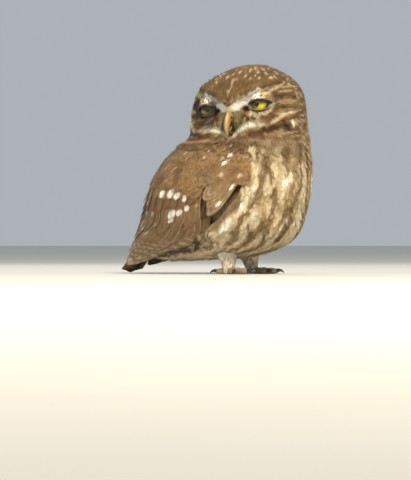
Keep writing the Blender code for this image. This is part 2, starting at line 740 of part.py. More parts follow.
def claw(name, root, ahead, radius):
    """A hooked claw from the toe's end, its point just clear of the floor."""
    turns = np.linspace(0.0, math.radians(78.0), 5)
    bend = CLAW_LENGTH / math.radians(78.0)
    start = radius * 0.98
    path = [
        root + ahead * bend * math.sin(turn) * 0.92 + np.array((0.0, 0.0, start + 1.1 * math.sin(turn * 1.6) - 0.52 * bend * (1 - math.cos(turn))))
        for turn in turns
    ]
    tube(name, path, radius * np.array((0.66, 0.6, 0.46, 0.3, 0.12)), 7, "claw_horn")


def settle():
    """Moves everything so that the origin is the middle of the bounding box's floor."""
    corners = []
    for item in bpy.data.objects:
        points = np.empty(len(item.data.vertices) * 3)
        item.data.vertices.foreach_get("co", points)
        points = points.reshape(-1, 3)
        corners += [points.min(axis=0), points.max(axis=0)]
    middle = (np.min(corners, axis=0) + np.max(corners, axis=0)) / 2.0
    for item in bpy.data.objects:
        item.location = Vector((-middle[0], -middle[1], 0.0))


def main():
    for item in list(bpy.data.objects):
        bpy.data.objects.remove(item)
    head_and_bill()
    neck()
    torso_solid("torso", 0.0, "streaked_feather")
    for word, side in (("left", 1), ("right", -1)):
        wing(f"wing_{word}", side)
        leg_and_foot(word, side)
    tail()
    settle()


main()
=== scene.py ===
"""Looks of the little owl: skin, plumage, eyes, bill and feet over the packed solids.

Shapes are worked out in millimetres in the part's own frame, in which the bird faces -Y, its left is +X
and the floor is z = 0. make_piece() turns them into metres and into the packed model's place.
"""

import logging
import math
from dataclasses import dataclass, field
from enum import Enum
from typing import ClassVar

import bpy
import numpy as np
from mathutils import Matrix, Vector


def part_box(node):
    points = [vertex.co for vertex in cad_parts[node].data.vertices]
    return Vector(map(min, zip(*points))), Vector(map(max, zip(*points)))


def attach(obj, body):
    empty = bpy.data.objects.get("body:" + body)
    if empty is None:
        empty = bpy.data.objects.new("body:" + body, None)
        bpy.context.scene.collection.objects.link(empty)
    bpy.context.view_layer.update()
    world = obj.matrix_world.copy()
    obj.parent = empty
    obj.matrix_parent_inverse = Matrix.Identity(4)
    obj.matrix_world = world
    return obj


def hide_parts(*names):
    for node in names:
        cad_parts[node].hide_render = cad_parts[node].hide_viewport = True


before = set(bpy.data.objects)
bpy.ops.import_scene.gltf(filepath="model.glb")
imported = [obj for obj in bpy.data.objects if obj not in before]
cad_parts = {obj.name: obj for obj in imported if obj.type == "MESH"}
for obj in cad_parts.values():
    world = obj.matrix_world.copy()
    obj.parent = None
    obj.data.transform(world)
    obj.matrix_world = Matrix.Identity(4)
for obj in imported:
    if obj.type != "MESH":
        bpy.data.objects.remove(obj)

Array = np.ndarray
Socket = bpy.types.NodeSocket
log = logging.getLogger("little_owl")

SEED = 11
METRES = 0.001
BAKE_PATCH = 0.003
GOLDEN_TURN = 2.39996


def linear(code: str) -> Array:
    """Turns an sRGB hex value into linear light.

    Args:
        code: a colour such as "#7f6140".

    Returns:
        Its red, green and blue as linear values from 0 to 1.
    """
    value = np.array([int(code[place : place + 2], 16) / 255.0 for place in (1, 3, 5)])
    return np.where(value <= 0.04045, value / 12.92, ((value + 0.055) / 1.055) ** 2.4)


def smooth_step(low: float, high: float, value: Array) -> Array:
    """Rises smoothly from 0 at low to 1 at high, as 3 s^2 - 2 s^3 of the share s between them."""
    share = np.clip((np.asarray(value, float) - low) / (high - low), 0.0, 1.0)
    return share * share * (3.0 - 2.0 * share)


def fade(low: float, high: float, value: Array) -> Array:
    """The reverse of a smooth step: 1 at low, falling to 0 at high."""
    return 1.0 - smooth_step(low, high, value)


def mix(first: Array, second: Array, share: Array) -> Array:
    """Blends two colours, with the share as an array that lacks the colour axis."""
    share = np.asarray(share)[..., None]
    return first * (1.0 - share) + second * share


def unit(vectors: Array) -> Array:
    """Vectors along the last axis brought to length 1."""
    return vectors / (np.linalg.norm(vectors, axis=-1, keepdims=True) + 1e-12)


def from_breast(degrees: Array) -> Array:
    """The angle from the breast's middle, from 0 to 180, the same left and right."""
    return np.abs((np.asarray(degrees, float) + 180.0) % 360.0 - 180.0)


def round_turn(count: int) -> Array:
    """Angles in radians, evenly spaced once round."""
    return np.linspace(0.0, 2 * np.pi, count, endpoint=False)


def above_floor(points: Array, gap: float) -> Array:
    """The points, with those that lie lower than a gap over the floor lifted to it."""
    return np.concatenate((points[..., :2], np.maximum(points[..., 2:], gap)), -1)


def bell(value: Array, width: float) -> Array:
    """A bell curve: 1 at zero, falling as e to the minus square of value over width."""
    return np.exp(-((value / width) ** 2))


def tapered(share: Array, start: float, run: float) -> Array:
    """Width along a feather: full up to a start, then closed over a run by a quarter of an ellipse."""
    return np.sqrt(np.clip(1.0 - (np.clip(share - start, 0.0, 1.0) / run) ** 2, 0.0, 1.0))


def bars(left: Array, first: float, spacing: float, width: float) -> Array:
    """Soft bars across a feather, whose first lies so far from the tip and the others spaced behind it."""
    phase = (left - first) / spacing
    return bell(phase - np.round(phase), width)


def rounded(angle: Array, squareness: float) -> tuple[Array, Array]:
    """Cosine and sine of an angle, each raised to a power that makes a circle a rounded square."""
    cosine, sine = np.cos(angle), np.sin(angle)
    power = 2.0 / squareness
    return np.sign(cosine) * np.abs(cosine) ** power, np.sign(sine) * np.abs(sine) ** power


def between(sheet: Array, rows: tuple, columns: tuple, down: Array, over: Array) -> Array:
    """Reads a sheet between its points, in a straight line each way.

    Args:
        sheet: the values.
        rows: the whole rows before and after each place.
        columns: the whole columns before and after it.
        down: how far the place is from the first row to the second, from 0 to 1.
        over: the same for the columns.

    Returns:
        The values there.
    """
    top = sheet[rows[0], columns[0]] * (1 - over) + sheet[rows[0], columns[1]] * over
    bottom = sheet[rows[1], columns[0]] * (1 - over) + sheet[rows[1], columns[1]] * over
    return top * (1 - down) + bottom * down


def follow(table: Array, at: Array) -> Array:
    """Reads a table smoothly between its rows.

    Each stretch is a cubic whose ends have the rows' values and the slopes of their neighbours.

    Args:
        table: one row of values for each whole number.
        at: places along the rows, in any shape.

    Returns:
        The values, with the table's columns as a last axis.
    """
    at = np.asarray(at, float)
    last = len(table) - 1
    low = np.clip(np.floor(at).astype(int), 0, last - 1)
    part = (at - low)[..., None]
    before, start = table[np.clip(low - 1, 0, last)], table[low]
    end, after = table[low + 1], table[np.clip(low + 2, 0, last)]
    square, cube = part**2, part**3
    return (
        start * (2 * cube - 3 * square + 1)
        + (end - before) / 2.0 * (cube - 2 * square + part)
        + end * (3 * square - 2 * cube)
        + (after - start) / 2.0 * (cube - square)
    )


@dataclass(frozen=True)
class Drift:
    """Smooth random values: a lattice of random numbers, read between its points by the smooth step."""

    seed: int
    size: int = 96

    def read(self, first: Array, second: Array) -> Array:
        """Values from 0 to 1 over two parameters, whose unit is the lattice's spacing."""
        lattice = np.random.default_rng(self.seed).uniform(0.0, 1.0, (self.size, self.size))
        first, second = np.broadcast_arrays(np.asarray(first, float), np.asarray(second, float))
        low, side = np.floor(first).astype(int), np.floor(second).astype(int)
        down, over = smooth_step(0.0, 1.0, first - low), smooth_step(0.0, 1.0, second - side)
        low, side = low % self.size, side % self.size
        return between(lattice, (low, (low + 1) % self.size), (side, (side + 1) % self.size), down, over)


class Flank(Enum):
    """The bird's own left or right, as the sign of X."""

    LEFT = 1
    RIGHT = -1


@dataclass(frozen=True)
class Palette:
    """The plumage colours, as sRGB hex values."""

    mantle: str = "#95754e"
    mantle_dark: str = "#46311d"
    crown: str = "#755a3a"
    flight: str = "#775730"
    flight_dark: str = "#423121"
    cream: str = "#d1c09c"
    buff: str = "#b19972"
    tan: str = "#927955"
    white: str = "#fcf6e6"
    streak: str = "#6b5333"
    face: str = "#715736"
    dark: str = "#2b1f15"
    rufous: str = "#885634"
    copper: str = "#aa8156"
    ash: str = "#ada990"
    olive: str = "#837a55"
    shadow: str = "#241910"


INK = {name: linear(code) for name, code in vars(Palette()).items()}


@dataclass(frozen=True)
class TrunkShape:
    """The trunk's outline surface, from the neck down to the tail's tip, feathers included.

    Each station is the front line's Y and Z, the back line's Y and Z, and half the width there. A ring
    runs round them as a rounded square, and angle 0 is the breast, 90 the left side and 180 the back.
    """

    squareness: float = 2.15
    bed: float = 7.6
    stations: tuple = (
        (-55.0, 92.0, 36.0, 96.0, 41.0), (-57.0, 84.0, 45.0, 90.0, 43.5), (-58.0, 74.0, 52.5, 83.0, 45.5),
        (-56.5, 61.0, 60.0, 73.0, 46.5), (-53.5, 47.0, 66.0, 62.0, 46.5), (-49.5, 33.0, 70.0, 53.0, 44.5),
        (-38.0, 20.5, 73.0, 45.0, 40.5), (-12.0, 13.0, 76.0, 38.0, 35.5), (18.0, 11.0, 79.0, 32.0, 31.0),
        (42.0, 10.0, 82.0, 26.0, 25.0), (61.0, 6.5, 86.0, 19.0, 20.0), (75.0, 3.0, 89.5, 12.0, 17.0),
        (86.0, 0.0, 93.0, 5.0, 14.5),
    )
    wing_front: tuple = (
        (0.6, 78.0), (1.0, 66.0), (1.6, 58.0), (2.4, 55.0), (3.5, 61.0), (4.5, 67.0),
        (5.5, 70.0), (7.0, 64.0), (8.5, 50.0), (12.0, 20.0),
    )
    wing_back: tuple = ((0.8, 150.0), (3.0, 156.0), (5.0, 160.0), (6.5, 172.0), (8.0, 195.0), (12.0, 195.0))

    def base(self, station: Array, degrees: Array) -> Array:
        """Points of the outline: the ring's middle plus its reach times the rounded sine and cosine."""
        row = follow(np.array(self.stations), station)
        cosine, sine = rounded(np.radians(degrees), self.squareness)
        middle = (row[..., 0:2] + row[..., 2:4]) / 2.0
        reach = (row[..., 0:2] - row[..., 2:4]) / 2.0
        ahead, up = (middle[..., axis] + reach[..., axis] * cosine for axis in (0, 1))
        return np.stack((row[..., 4] * sine, ahead, up), -1)

    def normal(self, station: Array, degrees: Array) -> Array:
        """Outward directions, as the cross product of small steps along and round the surface."""
        along = self.base(station + 0.02, degrees) - self.base(station - 0.02, degrees)
        around = self.base(station, degrees + 0.8) - self.base(station, degrees - 0.8)
        return unit(np.cross(along, around))

    def place(self, station: Array, degrees: Array, height: Array) -> Array:
        """Points at a height over the outline, along its outward direction."""
        station, degrees, height = np.broadcast_arrays(station, degrees, height)
        return self.base(station, degrees) + self.normal(station, degrees) * height[..., None]

    def turn(self, station: Array, degrees: Array) -> Array:
        """Millimetres round the trunk for one degree."""
        step = self.base(station, degrees + 1.0) - self.base(station, degrees - 1.0)
        return np.linalg.norm(step, axis=-1) / 2.0

    def rate(self, station: Array, degrees: Array) -> Array:
        """Millimetres along the trunk for one station."""
        step = self.base(station + 0.05, degrees) - self.base(station - 0.05, degrees)
        return np.linalg.norm(step, axis=-1) / 0.1

    def bed_depth(self, station: Array, degrees: Array) -> Array:
        """How deep the flank is let in under the folded wing: a product of smooth steps at its four edges."""
        angle = from_breast(degrees)
        front_line = np.interp(station, *zip(*self.wing_front))
        back_line = np.interp(station, *zip(*self.wing_back))
        front = smooth_step(-1.0, 7.0, angle - front_line)
        back = smooth_step(-7.0, 1.0, back_line - angle)
        return self.bed * front * back * smooth_step(0.4, 1.9, station)


@dataclass(frozen=True)
class HeadShape:
    """The head in its own frame: side (its left), forward (the face) and up from its centre.

    Each row is the height over the centre, half the width, the depth to the face and the depth to the nape.
    """

    centre: tuple = (0.0, -11.0, 115.0)
    face_turn: float = math.radians(175.0)
    roll: float = math.radians(5.0)
    pitch: float = math.radians(3.0)
    squareness: float = 2.2
    crown_lean: float = 4.0
    eye_side: float = 19.2
    eye_height: float = 9.2
    eye_forward: float = 19.3
    eye_splay: float = math.radians(12.0)
    eye_radius: float = 9.3
    rows: tuple = (
        (36.8, 5.0, 4.5, 6.0), (35.6, 11.5, 9.5, 12.5), (32.4, 19.5, 17.5, 21.5), (27.6, 28.0, 24.5, 29.5),
        (21.5, 34.8, 29.5, 34.8), (13.5, 39.4, 33.0, 38.2), (4.0, 41.6, 33.4, 39.2),
        (-5.0, 42.4, 32.8, 39.4), (-12.0, 43.4, 33.0, 40.4), (-17.0, 44.4, 33.6, 41.4),
    )

    def relief(self, side: Array, height: Array) -> Array:
        """How far the face stands out: a sum of bell curves for dishes, brows, cheeks and the rim."""
        across = np.abs(side)

        def bump(centre_side: float, centre_height: float, wide: float, tall: float) -> Array:
            """A bell curve round one place and its mirror image."""
            return np.exp(-(((across - centre_side) / wide) ** 2) - ((height - centre_height) / tall) ** 2)

        dish = -4.2 * bump(self.eye_side, self.eye_height - 1.0, 11.5, 9.5)
        ridge = 12.2 + 0.42 * (across - 4.0)
        reach = smooth_step(1.0, 8.0, across) * fade(27.0, 36.0, across)
        brow = 3.4 * bell(height - ridge, 3.6) * reach
        middle = 3.6 * bump(0.0, 8.0, 5.0, 9.0)
        cheek = 2.4 * bump(25.0, -9.0, 8.0, 6.0)
        whisker = 2.2 * bump(9.5, -4.0, 4.5, 6.0)
        far = np.hypot((across - self.eye_side + 1.0) / 1.15, height - self.eye_height + 1.0)
        rim = 1.5 * bell(far - 18.0, 2.6) * smooth_step(12.0, 20.0, across)
        chin = -2.8 * bump(0.0, -9.5, 6.0, 5.5)
        return dish + brow + middle + cheek + whisker + rim + chin

    def ring(self, level: Array, degrees: Array) -> Array:
        """Points of a ring in the head's frame. Angle 0 is its left and 90 the face."""
        row = follow(np.array(self.rows), level)
        height, half_width, face_depth, nape_depth = (row[..., place] for place in range(4))
        angle = np.radians(degrees)
        cosine, sine = rounded(angle, self.squareness)
        side, forward = half_width * cosine, np.where(sine > 0, face_depth, nape_depth) * sine
        height = height + 0.0 * side
        relief = self.relief(side, height) * smooth_step(0.25, 0.8, np.sin(angle))
        grow = 1.0 + relief * smooth_step(0.0, 10.0, face_depth) / (np.hypot(side, forward) + 1e-9)
        return np.stack((side * grow, forward * grow, height), -1)

    def axes(self) -> Array:
        """The bird's own directions of the head's side, forward and up, as rows."""
        turn = self.face_turn
        return np.array(
            ((math.sin(turn), math.cos(turn), 0.0), (math.cos(turn), -math.sin(turn), 0.0), (0.0, 0.0, 1.0))
        )

    def tip(self, side: Array, forward: Array, up: Array) -> Array:
        """How far the head's tilt lifts a place: a shear that fades at the neck and towards the crown."""
        hold = smooth_step(-19.0, -4.0, up) * (1.0 - 0.8 * smooth_step(12.0, 34.0, up))
        return hold * (math.tan(self.roll) * side - math.tan(self.pitch) * forward)

    def to_body(self, points: Array) -> Array:
        """Turns points of the head's frame into the bird's."""
        points = np.asarray(points, float)
        side, forward, up = points[..., 0], points[..., 1], points[..., 2]
        lean = side + self.crown_lean * smooth_step(18.0, 37.0, up)
        tipped = up + self.tip(side, forward, up)
        return np.array(self.centre) + np.stack((lean, forward, tipped), -1) @ self.axes()

    def from_body(self, points: Array) -> Array:
        """Turns points of the bird's frame into the head's, leaving its small tilt out by one step back."""
        local = (np.asarray(points, float) - np.array(self.centre)) @ self.axes().T
        side, forward, up = local[..., 0], local[..., 1], local[..., 2]
        upright = side - self.crown_lean * smooth_step(18.0, 37.0, up)
        return np.stack((upright, forward, up - self.tip(side, forward, up)), -1)

    def eye_axes(self, flank: Flank) -> Array:
        """The eye's own across, forward and up directions in the head's frame, as rows."""
        turn = flank.value * self.eye_splay
        return np.array(
            ((math.cos(turn), -math.sin(turn), 0.0), (math.sin(turn), math.cos(turn), 0.0), (0.0, 0.0, 1.0))
        )

    def eye_centre(self, flank: Flank) -> Array:
        """Centre of an eyeball in the head's frame."""
        return np.array((flank.value * self.eye_side, self.eye_forward, self.eye_height))

    def near_eye(self, local: Array) -> tuple[Array, Array, Array]:
        """Places of the head's frame as seen from the nearer eye: outwards, ahead along its axis, and up."""
        side, forward = np.abs(local[..., 0]) - self.eye_side, local[..., 1] - self.eye_forward
        cosine, sine = math.cos(self.eye_splay), math.sin(self.eye_splay)
        return side * cosine - forward * sine, side * sine + forward * cosine, local[..., 2] - self.eye_height


TRUNK = TrunkShape()
HEAD = HeadShape()


def model_shift() -> Array:
    """How far the packed model was moved when its source set it on its own middle, read from both eyes."""
    made, packed = [], []
    for word, flank in (("eye_left", Flank.LEFT), ("eye_right", Flank.RIGHT)):
        low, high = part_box(word)
        packed.append((np.array(low) + np.array(high)) / 2.0 / METRES)
        made.append(HEAD.to_body(HEAD.eye_centre(flank)))
    shift = np.mean(packed, axis=0) - np.mean(made, axis=0)
    return np.array((shift[0], shift[1], 0.0))


SHIFT = model_shift()


@dataclass
class BodySurface:
    """One smooth surface over head, neck and trunk, kept as a dense grid.

    The first parameter is the way down from the crown in millimetres, measured along the mean meridian.
    The second is the angle round the body, with 0 at the breast and 90 at the left side.
    """

    columns: int = 360
    step: float = 1.0
    last_station: float = 8.9
    neck_blur: float = 4.0
    head_rings: int = 180
    trunk_rings: int = 300
    apex: tuple = (0.0, -0.8, 37.1)
    points: Array = field(init=False)
    normals: Array = field(init=False)
    station: Array = field(init=False)
    length: float = field(init=False)
    neck: float = field(init=False)

    def __post_init__(self) -> None:
        """Samples the rings, spaces them evenly and softens the step at the neck."""
        angles = np.linspace(0.0, 360.0, self.columns, endpoint=False)
        head_angles = 90.0 - angles - (math.degrees(HEAD.face_turn) - 90.0)
        levels = np.linspace(0.0, len(HEAD.rows) - 1.0, self.head_rings)
        head = HEAD.to_body(HEAD.ring(levels[:, None], head_angles[None, :]))
        apex = HEAD.to_body(np.array(self.apex))
        shares = np.linspace(0.04, 0.94, 8)[:, None, None]
        crown = apex + (head[0] - apex) * shares
        stations = np.linspace(0.0, self.last_station, self.trunk_rings)
        trunk = TRUNK.base(stations[:, None], angles[None, :])
        rows = np.concatenate((crown, head, trunk))
        marks = np.concatenate((np.full(len(crown), -2.0), np.linspace(-1.9, -0.3, len(head)), stations))
        way = np.concatenate(([0.0], np.cumsum(np.linalg.norm(np.diff(rows, axis=0), axis=-1).mean(axis=1))))
        self.length = float(way[-1])
        at = np.arange(0.0, self.length, self.step)
        low = np.clip(np.searchsorted(way, at, side="right") - 1, 0, len(way) - 2)
        part = ((at - way[low]) / (way[low + 1] - way[low]))[:, None, None]
        grid = rows[low] * (1.0 - part) + rows[low + 1] * part
        self.station = np.interp(at, way, marks)
        self.neck = float(way[len(crown) + len(head)])
        soft = self.blurred(grid, self.neck_blur)
        near = bell(at - self.neck, 8.0)[:, None, None]
        grid = self.blurred(grid * (1.0 - near) + soft * near, 0.8)
        self.points = grid
        along = np.gradient(grid, axis=0)
        around = np.roll(grid, -1, axis=1) - np.roll(grid, 1, axis=1)
        self.normals = unit(np.cross(along, around))

    def blurred(self, grid: Array, width: float) -> Array:
        """The grid softened down its rows by a bell curve of that width in millimetres."""
        reach = int(3 * width / self.step) + 1
        weights = np.exp(-((np.arange(-reach, reach + 1) * self.step / width) ** 2) / 2.0)
        weights /= weights.sum()
        padded = np.concatenate((np.repeat(grid[:1], reach, 0), grid, np.repeat(grid[-1:], reach, 0)))
        return sum(weight * padded[place : place + len(grid)] for place, weight in enumerate(weights))

    def read(self, grid: Array, way: Array, degrees: Array) -> Array:
        """Reads a grid of values at ways down and angles round the body."""
        row = np.clip(np.asarray(way, float) / self.step, 0.0, len(grid) - 1.001)
        column = (np.asarray(degrees, float) % 360.0) / 360.0 * self.columns
        low, side = row.astype(int), column.astype(int) % self.columns
        down, over = (row - low)[..., None], (column - np.floor(column))[..., None]
        return between(grid, (low, low + 1), (side, (side + 1) % self.columns), down, over)

    def station_at(self, way: Array) -> Array:
        """The trunk's station at a way down from the crown, below zero on the head."""
        return np.interp(way, np.arange(len(self.station)) * self.step, self.station)

    def way_at(self, station: float) -> float:
        """The way down from the crown to a station of the trunk."""
        return float(np.interp(station, self.station, np.arange(len(self.station)) * self.step))


@dataclass(frozen=True)
class Stroke:
    """A soft brush stroke of one colour along a line of chart places, with half its width in millimetres."""

    ink: str
    half_width: float
    line: tuple
    strength: float = 1.0
    only: int = 0

    def cover(
        self, first: Array, second: Array, first_scale: Array, second_scale: Array, rough: Array
    ) -> Array:
        """How much the stroke covers each place.

        The distance to the line, in millimetres, is the least of those to its stretches. It is made
        uneven by a smooth random value, and the cover falls smoothly over the stroke's edge.

        Args:
            first: first chart value of each place, such as an angle.
            second: second chart value of each place, such as a height.
            first_scale: millimetres for one unit of the first value.
            second_scale: millimetres for one unit of the second value.
            rough: unevenness of the edge in millimetres.

        Returns:
            The cover from 0 to 1.
        """
        marks = self.line if len(self.line) > 1 else (self.line[0], self.line[0])
        nearest = np.full(np.broadcast(first, second).shape, 1e9)
        for start, end in zip(marks[:-1], marks[1:]):
            run_first, run_second = (end[0] - start[0]) * first_scale, (end[1] - start[1]) * second_scale
            off_first, off_second = (first - start[0]) * first_scale, (second - start[1]) * second_scale
            share = (off_first * run_first + off_second * run_second) / (run_first**2 + run_second**2 + 1e-9)
            share = np.clip(share, 0.0, 1.0)
            far = np.hypot(off_first - share * run_first, off_second - share * run_second)
            nearest = np.minimum(nearest, far)
        within, beyond = 0.7 * self.half_width, 1.2 * self.half_width
        return self.strength * fade(within, beyond, nearest + rough)


HEAD_STROKES = (
    Stroke("cream", 0.9, ((52, 16.5), (59, 18.3), (72, 22.5)), 0.85),
    Stroke("buff", 0.8, ((60, 18.3), (81, 18.5)), 0.70),
    Stroke("buff", 0.8, ((66, 14.8), (80, 14.9)), 0.60),
    Stroke("cream", 0.9, ((42, 17.3), (48, 18.2)), 0.80),
    Stroke("cream", 0.9, ((87, 18.6), (86, 14.0), (87, 9.9)), 0.75),
    Stroke("dark", 1.2, ((55, 12.8), (63, 9.8)), 0.60),
    Stroke("buff", 0.8, ((60, 5.9), (75, 5.9)), 0.50),
    Stroke("buff", 0.8, ((59, 2.0), (74, 2.0)), 0.50),
    # Painted shade just below the near eye's inner corner.
    Stroke("dark", 2.8, ((23, 2.0), (26, -1.9)), 0.80),
    Stroke("dark", 1.0, ((27, -2.9), (35, -2.9)), 0.80),
    # Painted shade in the near eye's inner corner.
    Stroke("dark", 2.2, ((19, 6.9), (24, 3.9))),
    Stroke("copper", 1.1, ((22, 2.0), (26, 0.0), (29, -3.9), (34, -5.8)), 0.90),
    Stroke("cream", 1.3, ((27, 2.0), (31, 0.0), (36, -1.9)), 0.90),
    Stroke("cream", 1.2, ((36, 0.0), (43, 0.0), (50, 2.0)), 0.90),
    Stroke("rufous", 0.8, ((34, -3.9), (41, -3.9), (48, -2.9), (53, 0.0)), 0.60),
    Stroke("cream", 1.2, ((49, -6.9), (55, -4.9), (61, -2.9), (67, -1.0), (78, -1.0)), 0.90),
    Stroke("rufous", 0.7, ((49, -7.8), (55, -6.9), (61, -4.9), (67, -3.9), (78, -2.9)), 0.70),
    Stroke("dark", 1.8, ((63, -7.0), (68, -10.1)), 0.70),
    Stroke("white", 0.9, ((74, -7.1), (75, -9.2))),
    Stroke("ash", 1.9, ((52, 7.9), (52, 5.9)), 0.85),
    Stroke("olive", 2.9, ((9, -5.9), (11, 0.0), (13, 3.9)), 0.85),
    Stroke("dark", 1.2, ((2, -13.6), (7, -11.7)), 0.85),
    Stroke("ash", 1.6, ((15, -8.8), (19, -6.8), (27, -5.8), (35, -4.9)), 0.90),
    Stroke("cream", 1.9, ((5, -15.5), (11, -11.7), (16, -9.7), (23, -8.7), (30, -7.7), (37, -7.7))),
    Stroke("white", 0.9, ((12, -10.7), (23, -7.7), (32, -7.7)), 0.90),
    Stroke("copper", 0.7, ((20, -11.6), (32, -10.6)), 0.70),
    Stroke("mantle_dark", 1.5, ((40, -10.7), (50, -9.8), (57, -10.8)), 0.75),
    Stroke("buff", 1.0, ((43, -14.5), (59, -15.5)), 0.80),
    Stroke("rufous", 0.9, ((27, -16.4), (36, -16.4), (46, -16.4), (54, -16.4), (57, -17.3)), 0.80),
    Stroke("cream", 1.8, ((25, 10.8), (31, 11.8), (39, 11.8), (45, 11.8)), 0.90),
    Stroke("tan", 1.5, ((47, 11.8), (52, 9.8)), 0.80),
    Stroke("cream", 1.1, ((38, 14.6), (49, 14.6)), 0.80),
    Stroke("cream", 2.2, ((2, 4.9), (8, 7.9), (14, 9.8), (20, 12.7))),
    Stroke("white", 2.9, ((9, 6.9), (14, 8.9), (21, 10.8), (28, 11.8), (35, 13.7))),
    Stroke("white", 2.2, ((27, 14.6), (33, 15.5), (37, 16.4))),
    Stroke("cream", 0.9, ((0, 21.6), (3, 17.4)), 0.90, only=-1),
    Stroke("cream", 0.9, ((5, 27.0), (2, 23.1)), 0.85, only=-1),
    Stroke("buff", 0.8, ((6, 19.2), (0, 15.6)), 0.80, only=-1),
    # Painted shade over the far side of the face: dark round and below the far eye, and a darker far cheek.
    Stroke("dark", 4.7, ((56, 11.8), (48, 5.9), (40, 0.0)), 0.80, only=-1),
    Stroke("dark", 3.6, ((31, 9.8), (27, 2.0)), 0.85, only=-1),
    Stroke("mantle_dark", 3.6, ((48, -3.3), (27, -5.3)), 0.60, only=-1),
    Stroke("dark", 1.2, ((45, 2.0), (32, 0.0)), 0.80, only=-1),
)


BROW = Stroke("white", 2.6, ((4, 8.6), (10, 12.0), (17, 15.0), (26, 17.4), (34, 18.9)))
WHISKER = Stroke("ash", 3.2, ((6, -13.5), (15, -8.7), (25, -5.6), (35, -5.0)))

CROWN_SPOTS = (
    (-20, 28.7), (-8, 25.8), (0, 26.4), (16, 25.1), (24, 26.4), (-16, 22.4), (-33, 25.3), (36, 31.6),
    (50, 30.2), (14, 29.2), (-4, 32.1), (-42, 30.7), (32, 34.4), (19, 33.3), (50, 33.7), (-14, 30.7),
    (-33, 22.6), (54, 27.0), (6, 22.3), (-38, 28.2), (-34, 20.2), (37, 27.0), (62, 27.5), (75, 31.0),
    (-60, 27.5), (-75, 30.5), (90, 27.0), (-95, 26.0),
)

BREAST_STROKES = (
    Stroke("tan", 5.1, ((93, 71), (104, 66)), 0.60),
    Stroke("rufous", 3.6, ((97, 24), (99, 8)), 0.35),
    Stroke("tan", 2.9, ((85, 56), (85, 41)), 0.50),
    Stroke("streak", 2.9, ((112, 60), (115, 58)), 0.80),
    Stroke("streak", 2.6, ((94, 47), (103, 46)), 0.70),
    Stroke(
        "streak", 3.1,
        ((109, 48), (119, 47), (125, 49), (133, 52), (138, 54), (145, 57), (152, 60), (159, 61)), 0.75,
    ),
    Stroke("streak", 4.5, ((116, 64), (124, 64), (131, 65), (136, 67), (141, 69)), 0.80),
    Stroke("streak", 2.2, ((114, 37), (121, 34), (128, 33), (133, 32), (139, 33), (144, 35), (150, 31)), 0.8),
    Stroke("streak", 3.1, ((99, 25), (104, 22)), 0.70),
    Stroke("mantle_dark", 1.9, ((106, 13), (109, 10)), 0.70),
    Stroke("streak", 2.3, ((127, 21), (131, 11)), 0.75),
    Stroke("streak", 2.3, ((127, 5), (131, 0)), 0.75),
    Stroke("mantle_dark", 2.5, ((132, 3), (136, 8), (140, 13), (145, 16), (150, 16)), 0.60),
    Stroke("mantle_dark", 2.6, ((146, 31), (154, 31)), 0.65),
    Stroke("streak", 3.1, ((156, 80), (162, 71), (172, 67)), 0.80),
    Stroke("streak", 2.9, ((145, 48), (154, 44)), 0.85),
    Stroke("cream", 2.3, ((88, 60), (93, 57))),
    Stroke("cream", 2.2, ((97, 58), (101, 55), (108, 53)), 0.90),
    Stroke("cream", 2.5, ((114, 51), (118, 53), (125, 55), (131, 57), (136, 60), (139, 61)), 0.90),
    Stroke("white", 1.3, ((118, 53), (124, 55)), 0.80),
    Stroke("white", 1.3, ((130, 57), (135, 60)), 0.80),
    Stroke("cream", 1.9, ((112, 42), (117, 39), (122, 40)), 0.85),
    Stroke("cream", 2.2, ((127, 37), (130, 36), (134, 37)), 0.85),
    Stroke("cream", 3.4, ((134, 49), (139, 45), (143, 46)), 0.85),
    Stroke("white", 1.6, ((136, 48), (139, 45)), 0.70),
    Stroke("cream", 2.3, ((141, 51), (147, 53), (152, 52), (157, 53), (160, 54)), 0.90),
    Stroke("cream", 2.8, ((140, 64), (147, 67), (151, 71), (156, 74)), 0.90),
    Stroke("white", 1.5, ((143, 65), (149, 68), (152, 71)), 0.80),
    Stroke("cream", 2.3, ((154, 65), (160, 66), (170, 62), (177, 58)), 0.90),
    Stroke("cream", 3.6, ((108, 18), (114, 24), (117, 25)), 0.90),
    Stroke("white", 2.5, ((110, 20), (114, 24)), 0.90),
    Stroke("cream", 2.6, ((103, 37), (108, 35), (113, 35)), 0.90),
    Stroke("cream", 2.3, ((120, 28), (126, 23)), 0.85),
    Stroke("cream", 2.2, ((98, 0), (109, 1), (118, 2), (127, 3)), 0.85),
    Stroke("cream", 1.6, ((131, 2), (138, 4)), 0.80),
    Stroke("cream", 2.0, ((133, 29), (137, 24), (142, 27)), 0.85),
    Stroke("cream", 2.0, ((138, 16), (144, 21), (147, 27)), 0.80),
)


def flank_line(way: Array) -> Array:
    """The angle to which the flank's feathers lie over the folded wing's edge, at a way down the body."""
    return np.interp(
        way, (112.0, 119.0, 128.0, 135.0, 142.0, 150.0, 157.0, 165.0, 178.0, 190.0, 205.0),
        (40.0, 58.0, 62.0, 66.0, 71.0, 76.0, 74.0, 66.0, 59.0, 54.0, 44.0),
    )


def wing_spots(colour: Array, station: Array, angle: Array) -> Array:
    """Adds the wing's listed pale spots, each an ellipse tilted in the trunk's chart, to colours there."""
    turn, rate = TRUNK.turn(station, angle), TRUNK.rate(station, angle)
    for spot_station, spot_angle, long, wide, tilt, ink in WING_SPOTS:
        down, over = (station - spot_station) * rate, (angle - spot_angle) * turn
        cosine, sine = math.cos(math.radians(-tilt)), math.sin(math.radians(-tilt))
        far = np.hypot((over * cosine + down * sine) / long, (down * cosine - over * sine) / wide)
        colour = mix(colour, INK[ink], 0.95 * fade(0.75, 1.1, far))
    return colour


